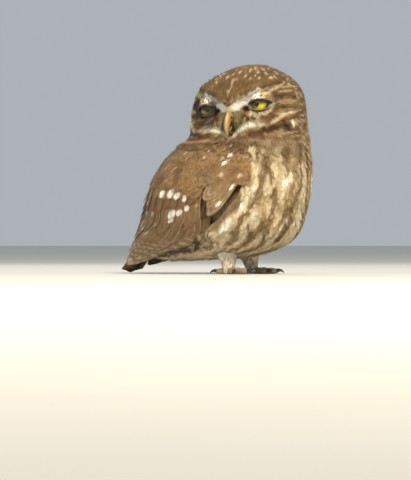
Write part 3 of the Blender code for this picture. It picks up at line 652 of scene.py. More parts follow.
@dataclass
class Markings:
    """The plumage's colours, painted once on two charts, which skin and feathers both read.

    The head's chart is the angle from the face's middle and the height in the head's frame. The body's
    is the way down from the crown and the angle from the breast's middle, the same left and right.
    """

    surface: BodySurface
    lowest: float = -26.0
    highest: float = 38.0
    spacing: float = 0.5
    head: Array = field(init=False)
    body: Array = field(init=False)

    def __post_init__(self) -> None:
        """Paints both charts."""
        self.head = self.paint_head()
        self.body = self.paint_body()

    def paint_head(self) -> Array:
        """The head: brown crown with pale drops, streaked sides, tan face, then the strokes in order."""
        heights = np.arange(self.lowest, self.highest + 0.1, self.spacing)
        turn, up = np.meshgrid(np.arange(-180.0, 181.0, 1.0), heights)
        angle = np.abs(turn)
        rows = np.array(HEAD.rows)[::-1]
        scale = np.interp(up, rows[:, 0], rows[:, 1]) * 0.0155
        patch = Drift(3).read(angle * scale / 6.0, up / 5.0)
        crown = mix(INK["crown"], INK["mantle_dark"], 0.45 * smooth_step(0.5, 0.95, patch))
        crown = mix(crown, INK["tan"], 0.35 * fade(0.1, 0.5, patch))
        lines = Drift(5).read(angle * scale / 6.5 + 3.0, (up - 0.12 * angle * scale) / 1.35)
        nape = smooth_step(95.0, 130.0, angle)
        drops = Drift(6).read(angle * scale / 2.8, up / 5.5)
        lines = lines * (1.0 - nape) + drops * nape
        side = smooth_step(40.0, 62.0, angle) * fade(19.0, 27.0, up)
        pale = mix(INK["buff"], INK["cream"], Drift(9).read(angle / 6.0, up / 3.0))
        colour = mix(crown, INK["mantle_dark"], 0.6 * side * fade(0.15, 0.45, lines))
        colour = mix(colour, pale, 0.62 * side * smooth_step(0.5, 0.85, lines))
        collar = bell(up + 2.0 + 0.1 * (180.0 - angle), 4.0) * smooth_step(118.0, 140.0, angle)
        colour = mix(colour, INK["cream"], 0.65 * collar * smooth_step(0.35, 0.6, drops))
        facial = fade(44.0, 62.0, angle) * fade(12.0, 17.0, up)
        over, beside = up - HEAD.eye_height, angle * scale - HEAD.eye_side
        tone = Drift(12).read(np.degrees(np.arctan2(over, beside)) / 9.0, np.hypot(over, beside) / 4.0)
        face = mix(INK["face"], INK["buff"], 0.75 * smooth_step(0.5, 0.85, tone))
        face = mix(face, INK["mantle_dark"], 0.6 * fade(0.12, 0.45, tone))
        colour = mix(colour, face, facial)
        rough = 1.3 * (Drift(15).read(angle * scale / 1.3, up / 1.3) - 0.5)
        for stroke in HEAD_STROKES:
            cover = stroke.cover(angle, up, scale, 1.0, rough) * (turn * stroke.only >= 0)
            colour = mix(colour, INK[stroke.ink], cover)
        return colour

    def paint_body(self) -> Array:
        """The body: cream with streaks in front, then the strokes, brown behind and painted shade under the
        wing.
        """
        surface = self.surface
        marks = (np.arange(0.0, limit, self.spacing) for limit in (surface.length, 181.0))
        way, angle = np.meshgrid(*marks, indexing="ij")
        station = surface.station_at(way)
        steps = np.linalg.norm(surface.points - np.roll(surface.points, 1, axis=1), axis=-1)
        around = steps.sum(axis=1) / 360.0
        scale = np.interp(way, np.arange(len(around)) * surface.step, around)
        across = angle * 0.8 - 0.34 * np.clip(way - 116.0, 0.0, 60.0)
        lines = 0.84 * Drift(21).read(way / 15.0, across / 4.4)
        lines = lines + 0.16 * Drift(22).read(way / 6.0, across / 1.9)
        tone = Drift(23).read(way / 14.0, angle / 16.0)
        front = mix(INK["buff"], INK["tan"], 0.5 + 0.4 * smooth_step(40.0, 75.0, angle) - 0.3 * tone)
        front = mix(front, INK["cream"], 0.8 * smooth_step(0.5, 0.74, lines))
        front = mix(front, INK["streak"], 0.75 * fade(0.26, 0.52, lines))
        upper = fade(0.2, 2.2, station)
        front = mix(front, INK["streak"], 0.35 * upper)
        vent = smooth_step(6.8, 8.0, station)
        front = mix(front, INK["cream"], 0.85 * vent)
        rough = 2.4 * (Drift(24).read(way / 5.0, angle * scale / 1.4) - 0.5)
        rough = rough + 1.2 * (Drift(26).read(way / 9.0, across / 2.0) - 0.5)
        for stroke in BREAST_STROKES:
            front = mix(front, INK[stroke.ink], stroke.cover(way, angle, 1.0, scale, rough))
        patch = Drift(25).read(way / 8.0, angle * scale / 7.0)
        behind = mix(INK["mantle"], INK["mantle_dark"], 0.45 * smooth_step(0.4, 0.9, patch))
        edge = np.interp(station, (-0.6, 0.6, 1.2, 3.0, 6.0, 8.9), (64.0, 66.0, 72.0, 112.0, 124.0, 112.0))
        colour = mix(front, behind, smooth_step(-4.0, 4.0, angle - edge + 5.0 * (patch - 0.5)))
        under = smooth_step(1.5, 5.0, TRUNK.bed_depth(np.maximum(station, 0.0), angle))
        low = smooth_step(3.6, 4.3, station)
        colour = mix(colour, behind, under * (1.0 - low))
        # Painted highlight: a tan glow where light falls on the shoulder's bulge.
        colour = mix(colour, INK["tan"], 0.6 * bell(station - 2.9, 0.55) * bell(angle - 87.0, 9.0))
        # Painted shade: past the flank's feathers, the lower bed under the folded wing is darkened to near
        # black for the gap there.
        bare = smooth_step(11.0, 16.0, angle - flank_line(way)) * fade(126.0, 136.0, angle)
        return mix(colour, INK["shadow"], 0.9 * under * low * bare)

    def sample(self, sheet: Array, row: Array, column: Array) -> Array:
        """Reads a chart at rows and columns, held inside its edges."""
        row, column = np.clip(row, 0.0, sheet.shape[0] - 1.001), np.clip(column, 0.0, sheet.shape[1] - 1.001)
        low, side = row.astype(int), column.astype(int)
        down, over = (row - low)[..., None], (column - side)[..., None]
        return between(sheet, (low, low + 1), (side, side + 1), down, over)

    def head_colour(self, local: Array) -> Array:
        """Colours at places given in the head's frame."""
        turn = np.degrees(np.arctan2(local[..., 0], local[..., 1]))
        return self.sample(self.head, (local[..., 2] - self.lowest) / self.spacing, turn + 180.0)

    def body_colour(self, way: Array, degrees: Array) -> Array:
        """Colours at places given by the way down and the angle."""
        return self.sample(self.body, way / self.spacing, from_breast(degrees) / self.spacing)

    def colour(self, local: Array, way: Array, degrees: Array) -> Array:
        """Colours at places given in both ways: the head's chart, which the body's takes over at the neck."""
        share = smooth_step(-0.45, 0.1, self.surface.station_at(way))
        return mix(self.head_colour(local), self.body_colour(way, degrees), share)


@dataclass
class Roots:
    """Where feathers grow: ways and angles on the body, with place, outward direction and lie of each."""

    way: Array
    degrees: Array
    place: Array
    normal: Array
    lie: Array

    def chosen(self, keep: Array) -> "Roots":
        """Only those roots."""
        return Roots(*(getattr(self, name)[keep] for name in ("way", "degrees", "place", "normal", "lie")))


def placed(name: str, data: bpy.types.ID) -> bpy.types.Object:
    """An object for a mesh, a lamp or a camera, added to the scene."""
    made = bpy.data.objects.new(name, data)
    bpy.context.scene.collection.objects.link(made)
    return made


def make_piece(
    name: str, points: Array, loops: Array, sizes: Array, material: bpy.types.Material, tint: Array,
    vane: Array | None = None, bake: Array | None = None,
) -> bpy.types.Object:
    """Makes a mesh object from whole arrays and lets it ride on the model.

    Args:
        name: the piece's name.
        points: its points in millimetres in the part's frame.
        loops: the corners of all faces, one after another.
        sizes: how many corners each face has.
        material: its finish.
        tint: linear colours, one for each point.
        vane: places on each feather, one pair for each point.
        bake: places in the OFBake map, one pair for each point.

    Returns:
        The object, at the origin.
    """
    mesh = bpy.data.meshes.new(name)
    loops = np.ascontiguousarray(loops, dtype=np.int32)
    mesh.vertices.add(len(points))
    mesh.vertices.foreach_set("co", ((points + SHIFT) * METRES).astype(np.float32).ravel())
    mesh.loops.add(len(loops))
    mesh.loops.foreach_set("vertex_index", loops)
    mesh.polygons.add(len(sizes))
    starts = np.concatenate(([0], np.cumsum(sizes)[:-1])).astype(np.int32)
    mesh.polygons.foreach_set("loop_start", starts)
    mesh.polygons.foreach_set("use_smooth", np.ones(len(sizes), bool))
    mesh.update(calc_edges=True)
    colours = mesh.color_attributes.new("Tint", "FLOAT_COLOR", "POINT")
    full = np.concatenate((np.clip(tint, 0.0, 1.0), np.ones((len(tint), 1))), axis=1)
    colours.data.foreach_set("color", full.astype(np.float32).ravel())
    for title, places in (("OFBake", bake), ("Vane", vane)):
        if places is not None:
            layer = mesh.uv_layers.new(name=title)
            layer.data.foreach_set("uv", places[loops].astype(np.float32).ravel())
    mesh.validate()
    mesh.materials.append(material)
    made = placed(name, mesh)
    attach(made, "root")
    log.info("%s: %d faces", name, len(sizes))
    return made


def grid_faces(rows: int, columns: int, closed: bool) -> tuple[Array, Array]:
    """Corners of a grid's quads, wound with rows before columns. The columns may close on themselves."""
    row = np.arange(rows - 1)[:, None] * columns
    column = np.arange(columns if closed else columns - 1)[None, :]
    right = (column + 1) % columns
    corners = (row + column, row + columns + column, row + columns + right, row + right)
    quads = np.stack(np.broadcast_arrays(*corners), -1).reshape(-1, 4)
    return quads.ravel(), np.full(len(quads), 4)


def closed_faces(points: Array) -> tuple[Array, Array, Array]:
    """Faces of a tube whose ends are closed by fans.

    Args:
        points: rings of points.

    Returns:
        The faces' corners and sizes, and the two points in the ends' middles, which follow the rings.
    """
    rows, columns = points.shape[:2]
    loops, sizes = grid_faces(rows, columns, True)
    count, ring = rows * columns, np.arange(columns)
    after = (ring + 1) % columns
    first = np.stack((np.full(columns, count), ring, after), -1)
    last = np.stack((count - columns + ring, np.full(columns, count + 1), count - columns + after), -1)
    loops = np.concatenate((loops, first.ravel(), last.ravel()))
    ends = np.stack((points[0].mean(axis=0), points[-1].mean(axis=0)))
    return loops, np.concatenate((sizes, np.full(2 * columns, 3))), ends


def tiled(loops: Array, count: int, size: int) -> Array:
    """The corners of a template's faces, repeated for a number of copies of so many points each."""
    return (loops[None, :] + (np.arange(count) * size)[:, None]).ravel()


def bake_patches(spots: Array, vane: Array) -> Array:
    """OFBake places: each feather's patch at its root's spot on the unwrapped skin."""
    return (0.01 + 0.98 * spots[:, None, :] + (vane[None] - 0.5) * BAKE_PATCH).reshape(-1, 2)


def flipped(loops: Array) -> Array:
    """The corners of quads, wound the other way."""
    return loops.reshape(-1, 4)[:, ::-1].ravel()


def add_node(
    tree: bpy.types.NodeTree, kind: str, settings: dict | None = None, links: dict | None = None
) -> bpy.types.Node:
    """Adds a shader node.

    Args:
        tree: the material's node tree.
        kind: the node's type name.
        settings: node properties by name, or input values by socket name or number.
        links: outputs of other nodes by this node's input name or number.

    Returns:
        The new node.
    """
    node = tree.nodes.new(kind)
    for key, value in (settings or {}).items():
        if isinstance(key, str) and hasattr(node, key) and key not in node.inputs:
            setattr(node, key, value)
        else:
            node.inputs[key].default_value = value
    for key, output in (links or {}).items():
        tree.links.new(output, node.inputs[key])
    return node


@dataclass
class Shading:
    """A material in the making, with short ways to add the nodes that the finishes share."""

    name: str
    material: bpy.types.Material = field(init=False)
    tree: bpy.types.NodeTree = field(init=False)
    shader: bpy.types.Node = field(init=False)
    tint: Socket = field(init=False)
    place: Socket = field(init=False)

    def __post_init__(self) -> None:
        """Starts the material: its shader, the painted colour and the object's own coordinates."""
        self.material = bpy.data.materials.new(self.name)
        self.material.use_nodes = True
        self.tree = self.material.node_tree
        self.shader = self.tree.nodes["Principled BSDF"]
        self.tint = add_node(self.tree, "ShaderNodeAttribute", {"attribute_name": "Tint"}).outputs["Color"]
        self.place = add_node(self.tree, "ShaderNodeTexCoord").outputs["Object"]

    def maths(self, operation: str, first: Socket, second: float | Socket = 0.0) -> Socket:
        """The outcome of an operation on an output and a number or another output."""
        settings, links = {"operation": operation}, {0: first}
        (settings if isinstance(second, float) else links)[1] = second
        return add_node(self.tree, "ShaderNodeMath", settings, links).outputs[0]

    def noise(self, scale: float, detail: float) -> Socket:
        """Smooth random values over the object's own coordinates."""
        settings = {"Scale": scale, "Detail": detail}
        return add_node(self.tree, "ShaderNodeTexNoise", settings, {"Vector": self.place}).outputs["Fac"]

    def spread(self, value: Socket, low: float, high: float, start: float = 0.3, end: float = 0.7) -> Socket:
        """Values from start to end, moved to run from low to high."""
        settings = {"From Min": start, "From Max": end, "To Min": low, "To Max": high}
        return add_node(self.tree, "ShaderNodeMapRange", settings, {"Value": value}).outputs[0]

    def scaled(self, colour: Socket, factor: Socket) -> Socket:
        """A colour times a factor."""
        links = {0: colour, 3: factor}
        return add_node(self.tree, "ShaderNodeVectorMath", {"operation": "SCALE"}, links).outputs[0]

    def relief(self, height: Socket, strength: float, distance: float) -> None:
        """Adds fine relief from a height, over a distance in metres."""
        settings = {"Strength": strength, "Distance": distance}
        bump = add_node(self.tree, "ShaderNodeBump", settings, {"Height": height})
        self.tree.links.new(bump.outputs[0], self.shader.inputs["Normal"])

    def finish(self, colour: Socket, levels: dict) -> bpy.types.Material:
        """Gives the shader its colour and its levels by input name, and hands the material over."""
        self.tree.links.new(colour, self.shader.inputs["Base Color"])
        for name, value in levels.items():
            self.shader.inputs[name].default_value = value
        return self.material


@dataclass(frozen=True)
class FeatherFinish:
    """Feather keratin: matt, with a faint silky sheen and barbs that run out from the shaft.

    The barbs of a small owl's feathers lie about 0.3 mm apart, drawn here as coarse as shows. The broad
    markings come with each feather's own colours, and the shader adds barbs, shaft and mottling.
    """

    name: str = "feather_keratin"
    barb_count: float = 26.0
    shaft: float = 0.0
    roughness: float = 0.82
    sheen: float = 0.12

    def make(self) -> bpy.types.Material:
        """Builds the material: barbs as a sine along a wandering slant, mottling and a darker shaft."""
        shading = Shading(self.name)
        vane = add_node(shading.tree, "ShaderNodeUVMap", {"uv_map": "Vane"})
        parts = add_node(shading.tree, "ShaderNodeSeparateXYZ", links={0: vane.outputs[0]})
        far = shading.maths("ABSOLUTE", shading.maths("SUBTRACT", parts.outputs[0], 0.5))
        along = shading.maths("ADD", parts.outputs[1], shading.maths("MULTIPLY", far, -0.45))
        bent = shading.maths("ADD", along, shading.maths("MULTIPLY", shading.noise(420.0, 2.0), 0.08))
        wave = shading.maths("SINE", shading.maths("MULTIPLY", bent, self.barb_count * 2 * math.pi))
        grain = shading.spread(wave, 0.86, 1.08, -1.0, 1.0)
        mottle = shading.spread(shading.noise(260.0, 3.0), 0.84, 1.14)
        colour = shading.scaled(shading.tint, shading.maths("MULTIPLY", grain, mottle))
        if self.shaft:
            colour = shading.scaled(colour, shading.spread(far, self.shaft, 1.0, 0.012, 0.03))
        shading.relief(wave, 0.5, 0.00015)
        sheen = {"Sheen Weight": self.sheen, "Sheen Roughness": 0.4}
        return shading.finish(colour, {"Roughness": self.roughness, "Specular IOR Level": 0.25, **sheen})


@dataclass(frozen=True)
class SkinFinish:
    """The short down over the skin: matt and mottled, and darker than the feathers that cover it as painted
    shade under them.
    """

    name: str = "down_over_skin"
    shade: float = 0.62

    def make(self) -> bpy.types.Material:
        """Builds the material."""
        shading = Shading(self.name)
        fluff = shading.noise(900.0, 4.0)
        shading.relief(fluff, 0.6, 0.0004)
        # The markings darkened by the shade factor: painted shade under the feathers.
        colour = shading.scaled(shading.tint, shading.spread(fluff, self.shade * 0.75, self.shade * 1.25))
        return shading.finish(colour, {"Roughness": 0.95, "Specular IOR Level": 0.1})


@dataclass(frozen=True)
class HornFinish:
    """Keratin horn of bill and claws: dense and semi-gloss, with fine growth lines along it.

    Typical horn has an IOR near 1.54 and a worn surface of roughness 0.35.
    """

    name: str
    line_scale: float = 900.0
    roughness: float = 0.36

    def make(self) -> bpy.types.Material:
        """Builds the material."""
        shading = Shading(self.name)
        growth = shading.noise(self.line_scale, 3.0)
        shading.relief(growth, 0.25, 0.0001)
        rough = shading.spread(growth, self.roughness - 0.06, self.roughness + 0.08)
        shading.tree.links.new(rough, shading.shader.inputs["Roughness"])
        return shading.finish(shading.scaled(shading.tint, shading.spread(growth, 0.85, 1.12)), {"IOR": 1.54})


@dataclass(frozen=True)
class EyeFinish:
    """A living eye: wet cornea over a fibrous iris. The coat is the tear film, so highlights are sharp."""

    name: str = "wet_eye"

    def make(self) -> bpy.types.Material:
        """Builds the material."""
        shading = Shading(self.name)
        fibre = shading.spread(shading.noise(1400.0, 3.0), 0.8, 1.15)
        levels = {"Roughness": 0.3, "IOR": 1.376, "Coat Weight": 0.3, "Coat Roughness": 0.08}
        return shading.finish(shading.scaled(shading.tint, fibre), levels)


@dataclass(frozen=True)
class VaneTemplate:
    """One feather's outline as a small flat mesh, with side from -1 to 1 and length from 0 to 1.

    A grid makes the vane. Its half width grows from the root as a smooth step and closes at the tip as a
    quarter ellipse, and thin triangles round its edge are loose barbs.
    """

    side: Array
    along: Array
    width_share: Array
    length_share: Array
    loops: Array
    sizes: Array
    first_barb: int

    @staticmethod
    def build(
        columns: int, rows: int, barbs: int, root: float, tip: float, fringe: float, seed: int
    ) -> "VaneTemplate":
        """Makes a template.

        Args:
            columns: points across.
            rows: points along.
            barbs: loose barbs round the edge.
            root: half width at the root, as a share of the widest.
            tip: half width at the tip, as a share of the widest.
            fringe: length of a loose barb, as a share of the feather's.
            seed: for the barbs' unevenness.

        Returns:
            The template.
        """
        draw = np.random.default_rng(seed)
        side, along = np.meshgrid(np.linspace(-1.0, 1.0, columns), np.linspace(0.0, 1.0, rows))
        wide = root + (1.0 - root) * smooth_step(0.0, 0.5, along)
        close = tip + (1.0 - tip) * tapered(along, 0.55, 0.47)
        width_share = side * wide * close
        length_share = along - 0.2 * side**2 * along**2
        length_share += draw.normal(0.0, 0.018, along.shape) * (along > 0.9)
        loops, sizes = grid_faces(rows, columns, False)
        start, bend, thick = rows * columns, 1.15, 0.09
        turn = np.linspace(-1.0, 1.0, barbs) * 2.1 + draw.normal(0.0, 0.05, barbs)
        at_tip = np.abs(turn) < bend
        edge_side = np.clip(turn / bend, -1.0, 1.0)
        edge_along = np.where(at_tip, 0.99, 0.99 - (np.abs(turn) - bend) * 0.6)
        near = 0.55 + 0.45 * tapered(edge_along, 0.55, 0.47)
        width = edge_side * (tip + (1.0 - tip) * near) * 0.9
        length = edge_along - 0.2 * edge_side**2 * edge_along**2 - 0.03
        out_width = edge_side * 0.55 + draw.normal(0.0, 0.12, barbs)
        reach = fringe * draw.uniform(0.5, 1.3, barbs)
        end_width, end_length = width + out_width * reach * 2.2, length + np.where(at_tip, 1.0, 0.75) * reach
        columns_of_points = (
            (side.ravel(), edge_side, edge_side, edge_side),
            (along.ravel(), edge_along, edge_along, np.ones(barbs)),
            (width_share.ravel(), width - thick, width + thick, end_width),
            (length_share.ravel(), length, length, end_length),
        )
        flat = [np.concatenate(parts) for parts in columns_of_points]
        number = start + np.arange(barbs)
        triangles = np.stack((number, number + 2 * barbs, number + barbs), -1)
        loops = np.concatenate((loops, triangles.ravel()))
        sizes = np.concatenate((sizes, np.full(barbs, 3)))
        return VaneTemplate(*flat, loops, sizes, start)

    def vane(self) -> Array:
        """Each point's place on the feather, across and along, from 0 to 1."""
        return np.stack((self.side * 0.5 + 0.5, self.along), -1)


@dataclass
class FeatherCoat:
    """Many small feathers of one kind, laid over the body as one joined mesh.

    A feather's middle line starts at its root, follows its lie and bends with the body as a parabola. Its
    points stand over that line by a height that grows towards the tip, less a camber that grows with the
    square of the distance from the shaft.
    """

    name: str
    surface: BodySurface
    roots: Roots
    length: Array
    half_width: Array
    root_height: float | Array
    tip_height: float | Array
    template: VaneTemplate
    camber: float = 0.22
    unrest: float = 0.18
    on_lids: bool = False

    def steps(self) -> tuple[Array, Array]:
        """How the way and the angle change for each millimetre along the lie and across it."""
        roots, surface = self.roots, self.surface
        down = (
            surface.read(surface.points, roots.way + 0.5, roots.degrees)
            - surface.read(surface.points, roots.way - 0.5, roots.degrees)
        )
        over = (
            surface.read(surface.points, roots.way, roots.degrees + 1.0)
            - surface.read(surface.points, roots.way, roots.degrees - 1.0)
        ) / 2.0
        down_size = (down**2).sum(-1) + 1e-9
        over_size = np.maximum((over**2).sum(-1), 0.04)
        across = np.cross(roots.lie, roots.normal)
        return tuple(
            np.stack(((way * down).sum(-1) / down_size, (way * over).sum(-1) / over_size), -1)
            for way in (roots.lie, across)
        )

    def reach(self) -> tuple[Array, Array]:
        """Each template point's run along the lie and its distance to the side, in millimetres."""
        count = len(self.roots.way)
        length = np.broadcast_to(self.length, count)[:, None]
        half = np.broadcast_to(self.half_width, count)[:, None]
        return self.template.length_share[None, :] * length, self.template.width_share[None, :] * half

    def chart(self, draw: np.random.Generator, slip: float) -> tuple[Array, Array, Array]:
        """Where the coat takes its colours from: each point's place, slipped by a little for each feather."""
        run, side = self.reach()
        along, across = self.steps()
        count = len(self.roots.way)
        run = run + draw.normal(0.0, slip * 1.6, (count, 1))
        side = side + draw.normal(0.0, slip, (count, 1))
        way = self.roots.way[:, None] + run * along[:, :1] + side * across[:, :1]
        degrees = self.roots.degrees[:, None] + run * along[:, 1:] + side * across[:, 1:]
        over = np.cross(self.roots.lie, self.roots.normal)
        place = self.roots.place[:, None] + run[..., None] * self.roots.lie[:, None]
        place = place + side[..., None] * over[:, None]
        return way, degrees, place

    def points(self, draw: np.random.Generator) -> Array:
        """Works out all points of all feathers, as feathers by template points by three.

        Those that would lie in an eyeball are pushed forward along its line of sight, onto its lids.

        Args:
            draw: the random source.

        Returns:
            The points in the part's frame.
        """
        roots, template, surface = self.roots, self.template, self.surface
        count = len(roots.way)
        normal, lie = roots.normal, roots.lie
        over = np.cross(lie, normal)
        length = np.broadcast_to(self.length, count)
        end = np.stack((roots.way, roots.degrees), -1) + self.steps()[0] * length[:, None]
        end_place = surface.read(surface.points, end[:, 0], end[:, 1])
        end_normal = surface.read(surface.normals, end[:, 0], end[:, 1])
        sag = np.einsum("ij,ij->i", end_place - roots.place, normal)
        sag = np.clip(sag, -0.35 * length, 0.12 * length)
        run, side = self.reach()
        share = template.length_share[None, :]
        root_height = np.broadcast_to(self.root_height, count)[:, None]
        tip_height = np.broadcast_to(self.tip_height, count)[:, None]
        tip_height = tip_height + draw.normal(0.0, self.unrest, (count, 1))
        height = root_height + (tip_height - root_height) * np.clip(share, 0.0, 1.2) ** 0.8
        widest = np.abs(side).max(axis=1, keepdims=True)
        height = height - self.camber * template.width_share[None, :] ** 2 * widest
        height = height + sag[:, None] * share**2
        height[:, template.first_barb :] += 0.08
        turned = unit(normal[:, None, :] + share[..., None] * (end_normal - normal)[:, None, :] * 0.5)
        points = roots.place[:, None] + run[..., None] * lie[:, None] + side[..., None] * over[:, None]
        points = points + height[..., None] * turned
        for flank in Flank if self.on_lids else ():
            axes, centre = HEAD.eye_axes(flank), HEAD.eye_centre(flank)
            spread = (HEAD.from_body(points) - centre) @ axes.T
            radius = HEAD.eye_radius + 1.15 + 0.25 * share
            flat = (spread[..., 0] ** 2 + spread[..., 2] ** 2) / radius**2
            front = radius * np.sqrt(np.clip(1.0 - flat, 0.0, None))
            held = (flat < 1.0) & (spread[..., 1] > -3.0)
            spread[..., 1] = np.where(held, np.maximum(spread[..., 1], front), spread[..., 1])
            points = HEAD.to_body(centre + spread @ axes)
        return points

    def build(self, tint: Array, material: bpy.types.Material, draw: np.random.Generator) -> bpy.types.Object:
        """Makes the piece from colours of shape feathers by template points by three."""
        points = self.points(draw)
        count, size = points.shape[:2]
        vane = self.template.vane()
        spot = np.stack((self.roots.degrees / 360.0 % 1.0, self.roots.way / self.surface.length), -1)
        return make_piece(
            self.name, points.reshape(-1, 3), tiled(self.template.loops, count, size),
            np.tile(self.template.sizes, count), material, tint.reshape(-1, 3), np.tile(vane, (count, 1)),
            bake_patches(np.clip(spot, 0.0, 1.0), vane),
        )


@dataclass
class Plumage:
    """All contour feathers of head, neck and trunk: where they grow, how they lie and how they are marked."""

    surface: BodySurface
    markings: Markings
    material: bpy.types.Material
    head_spacing: float = 1.9
    face_spacing: float = 1.2
    body_spacing: float = 2.9

    def scatter(self, first: float, last: float, spacing: float, draw: np.random.Generator) -> Roots:
        """Spreads roots in staggered, uneven rows.

        Args:
            first: way down from the crown where the rows start.
            last: where they end.
            spacing: millimetres between roots.
            draw: the random source.

        Returns:
            The roots with their lie.
        """
        ways, angles = [], []
        for number, way in enumerate(np.arange(first, last, spacing * 0.87)):
            ring = self.surface.points[min(int(way), len(self.surface.points) - 1)]
            around = np.linalg.norm(ring - np.roll(ring, 1, axis=0), axis=1).sum()
            count = max(int(around / spacing), 3)
            spots = (np.arange(count) + 0.5 * (number % 2) + draw.uniform(-0.35, 0.35, count)) * 360.0 / count
            angles.append(spots)
            ways.append(way + draw.uniform(-0.35, 0.35, count) * spacing)
        way = np.clip(np.concatenate(ways), 0.5, self.surface.length - 2.0)
        degrees = np.concatenate(angles) % 360.0
        place = self.surface.read(self.surface.points, way, degrees)
        normal = unit(self.surface.read(self.surface.normals, way, degrees))
        roots = Roots(way, degrees, place, normal, np.zeros_like(place))
        roots.lie = self.lie(roots, draw)
        return roots

    def lie(self, roots: Roots, draw: np.random.Generator) -> Array:
        """The direction in which each feather lies, along the surface.

        On the trunk it runs down the body and back. On the head it leads away from the bill and from the
        eyes, over the crown and down the nape. It is then made square to the outward direction.
        """
        surface = self.surface
        down = unit(
            surface.read(surface.points, roots.way + 1.0, roots.degrees)
            - surface.read(surface.points, roots.way - 1.0, roots.degrees)
        )
        station = surface.station_at(roots.way)
        back = np.array((0.0, 0.7, -0.35))
        trunk = down + smooth_step(1.5, 5.5, station)[:, None] * back
        local = HEAD.from_body(roots.place)
        from_bill = unit(local - np.array((0.0, 26.0, 2.0)))
        beside = np.stack((np.sign(local[:, 0]), np.ones(len(local)), np.ones(len(local))), -1)
        offset = local - np.array((HEAD.eye_side, 27.0, HEAD.eye_height - 1.0)) * beside
        from_eye = unit(offset * np.array((1.0, 0.3, 1.0)))
        by_bill = (bell(local[:, 0], 6.5) * bell(local[:, 2] + 1.0, 8.0))[:, None] * (local[:, 1:2] > 0)
        from_bill = unit(from_bill + by_bill * np.array((0.0, 0.5, -1.6)))
        near_eye = bell(np.linalg.norm(offset, axis=1), 13.0)[:, None]
        behind = fade(-16.0, 14.0, local[:, 1])[:, None]
        low = fade(-16.0, -6.0, local[:, 2])[:, None]
        sink = np.clip(behind + 0.7 * low, 0.0, 1.0)
        radial = from_bill * (1.0 - 0.85 * near_eye) + 0.85 * near_eye * from_eye
        head = radial * (1.0 - sink) + sink * (np.array((0.0, -0.25, -1.0)) + 0.3 * from_bill)
        on_trunk = smooth_step(-0.35, 0.2, station)[:, None]
        lie = unit(head @ HEAD.axes()) * (1.0 - on_trunk) + unit(trunk) * on_trunk
        lie = lie + draw.normal(0.0, 0.08, lie.shape)
        lie = lie - (lie * roots.normal).sum(-1, keepdims=True) * roots.normal
        return unit(lie)

    def tint(
        self, coat: FeatherCoat, draw: np.random.Generator, slip: float, spots: float, vary: float
    ) -> Array:
        """Colours of a coat: the painted chart, with each feather's own shade, dark root and pale drop.

        Args:
            coat: its feathers.
            draw: the random source.
            slip: how far a feather takes its colour from beside its place, in millimetres.
            spots: share of brown feathers with a pale drop near the tip.
            vary: how much the feathers differ in brightness.

        Returns:
            Linear colours for feathers by template points.
        """
        way, degrees, place = coat.chart(draw, slip)
        template = coat.template
        along, side = template.along[None, :], np.abs(template.side)[None, :]
        luck = draw.uniform(0.0, 1.0, (len(coat.roots.way), 4))
        colour = self.markings.colour(HEAD.from_body(place), way, degrees)
        shoulder = self.coverts(way, degrees)
        if shoulder.any():
            true_way, true_degrees, _ = coat.chart(draw, 0.0)
            station = np.clip(self.surface.station_at(true_way), 0.05, 11.9)
            spotted = wing_spots(colour, station, from_breast(true_degrees))
            colour = mix(colour, spotted, shoulder.astype(float))
        brown = fade(0.16, 0.3, colour.mean(axis=-1))
        drop = smooth_step(0.5, 0.66, along) * fade(0.92, 1.0, along)
        drop = drop * fade(0.25, 0.6, side)
        chosen = luck[:, :1] < spots
        colour = mix(colour, mix(INK["buff"], INK["white"], luck[:, 2:3]), drop * chosen * brown * 0.9)
        shade = (0.98 - vary / 2 + vary * luck[:, 1:2]) * (0.86 + 0.18 * smooth_step(0.0, 0.6, along))
        shade = shade * (1.0 + 0.08 * smooth_step(0.5, 1.0, side))
        return colour * shade[..., None]

    def coverts(self, way: Array, degrees: Array) -> Array:
        """Whether a place lies on the shoulder, where small feathers cover the wing's upper part."""
        station = self.surface.station_at(way)
        bed = TRUNK.bed_depth(np.maximum(station, 0.0), degrees)
        angle = from_breast(degrees)
        last = np.interp(angle, (60.0, 72.0, 84.0, 92.0), (3.0, 2.6, 3.0, 3.7))
        return (station > 0.1) & (station < last) & (bed >= 1.0)

    def build(self) -> list[bpy.types.Object]:
        """Makes all the coat's pieces."""
        draw = np.random.default_rng(SEED)
        made = [self.build_head(draw), self.build_face(draw), *self.build_body(draw)]
        return made + [self.build_coverts(flank, draw) for flank in Flank]

    def build_head(self, draw: np.random.Generator) -> bpy.types.Object:
        """Makes the small feathers of crown, sides and nape, longer towards the neck."""
        template = VaneTemplate.build(columns=3, rows=5, barbs=8, root=0.6, tip=0.25, fringe=0.22, seed=3)
        roots = self.scatter(1.0, self.surface.neck - 1.0, self.head_spacing, draw)
        roots = roots.chosen(~self.on_face(HEAD.from_body(roots.place)))
        low = fade(-15.0, -6.0, HEAD.from_body(roots.place)[:, 2])
        length = draw.uniform(5.4, 7.4, len(roots.way)) + 3.0 * low
        sizes = (length, 1.2 + 0.4 * low, -1.6, 0.4 + 0.7 * low)
        coat = FeatherCoat("coat_head", self.surface, roots, *sizes, template)
        tint = self.add_crown_spots(coat, self.tint(coat, draw, slip=0.4, spots=0.06, vary=0.42))
        return coat.build(tint, self.material, draw)

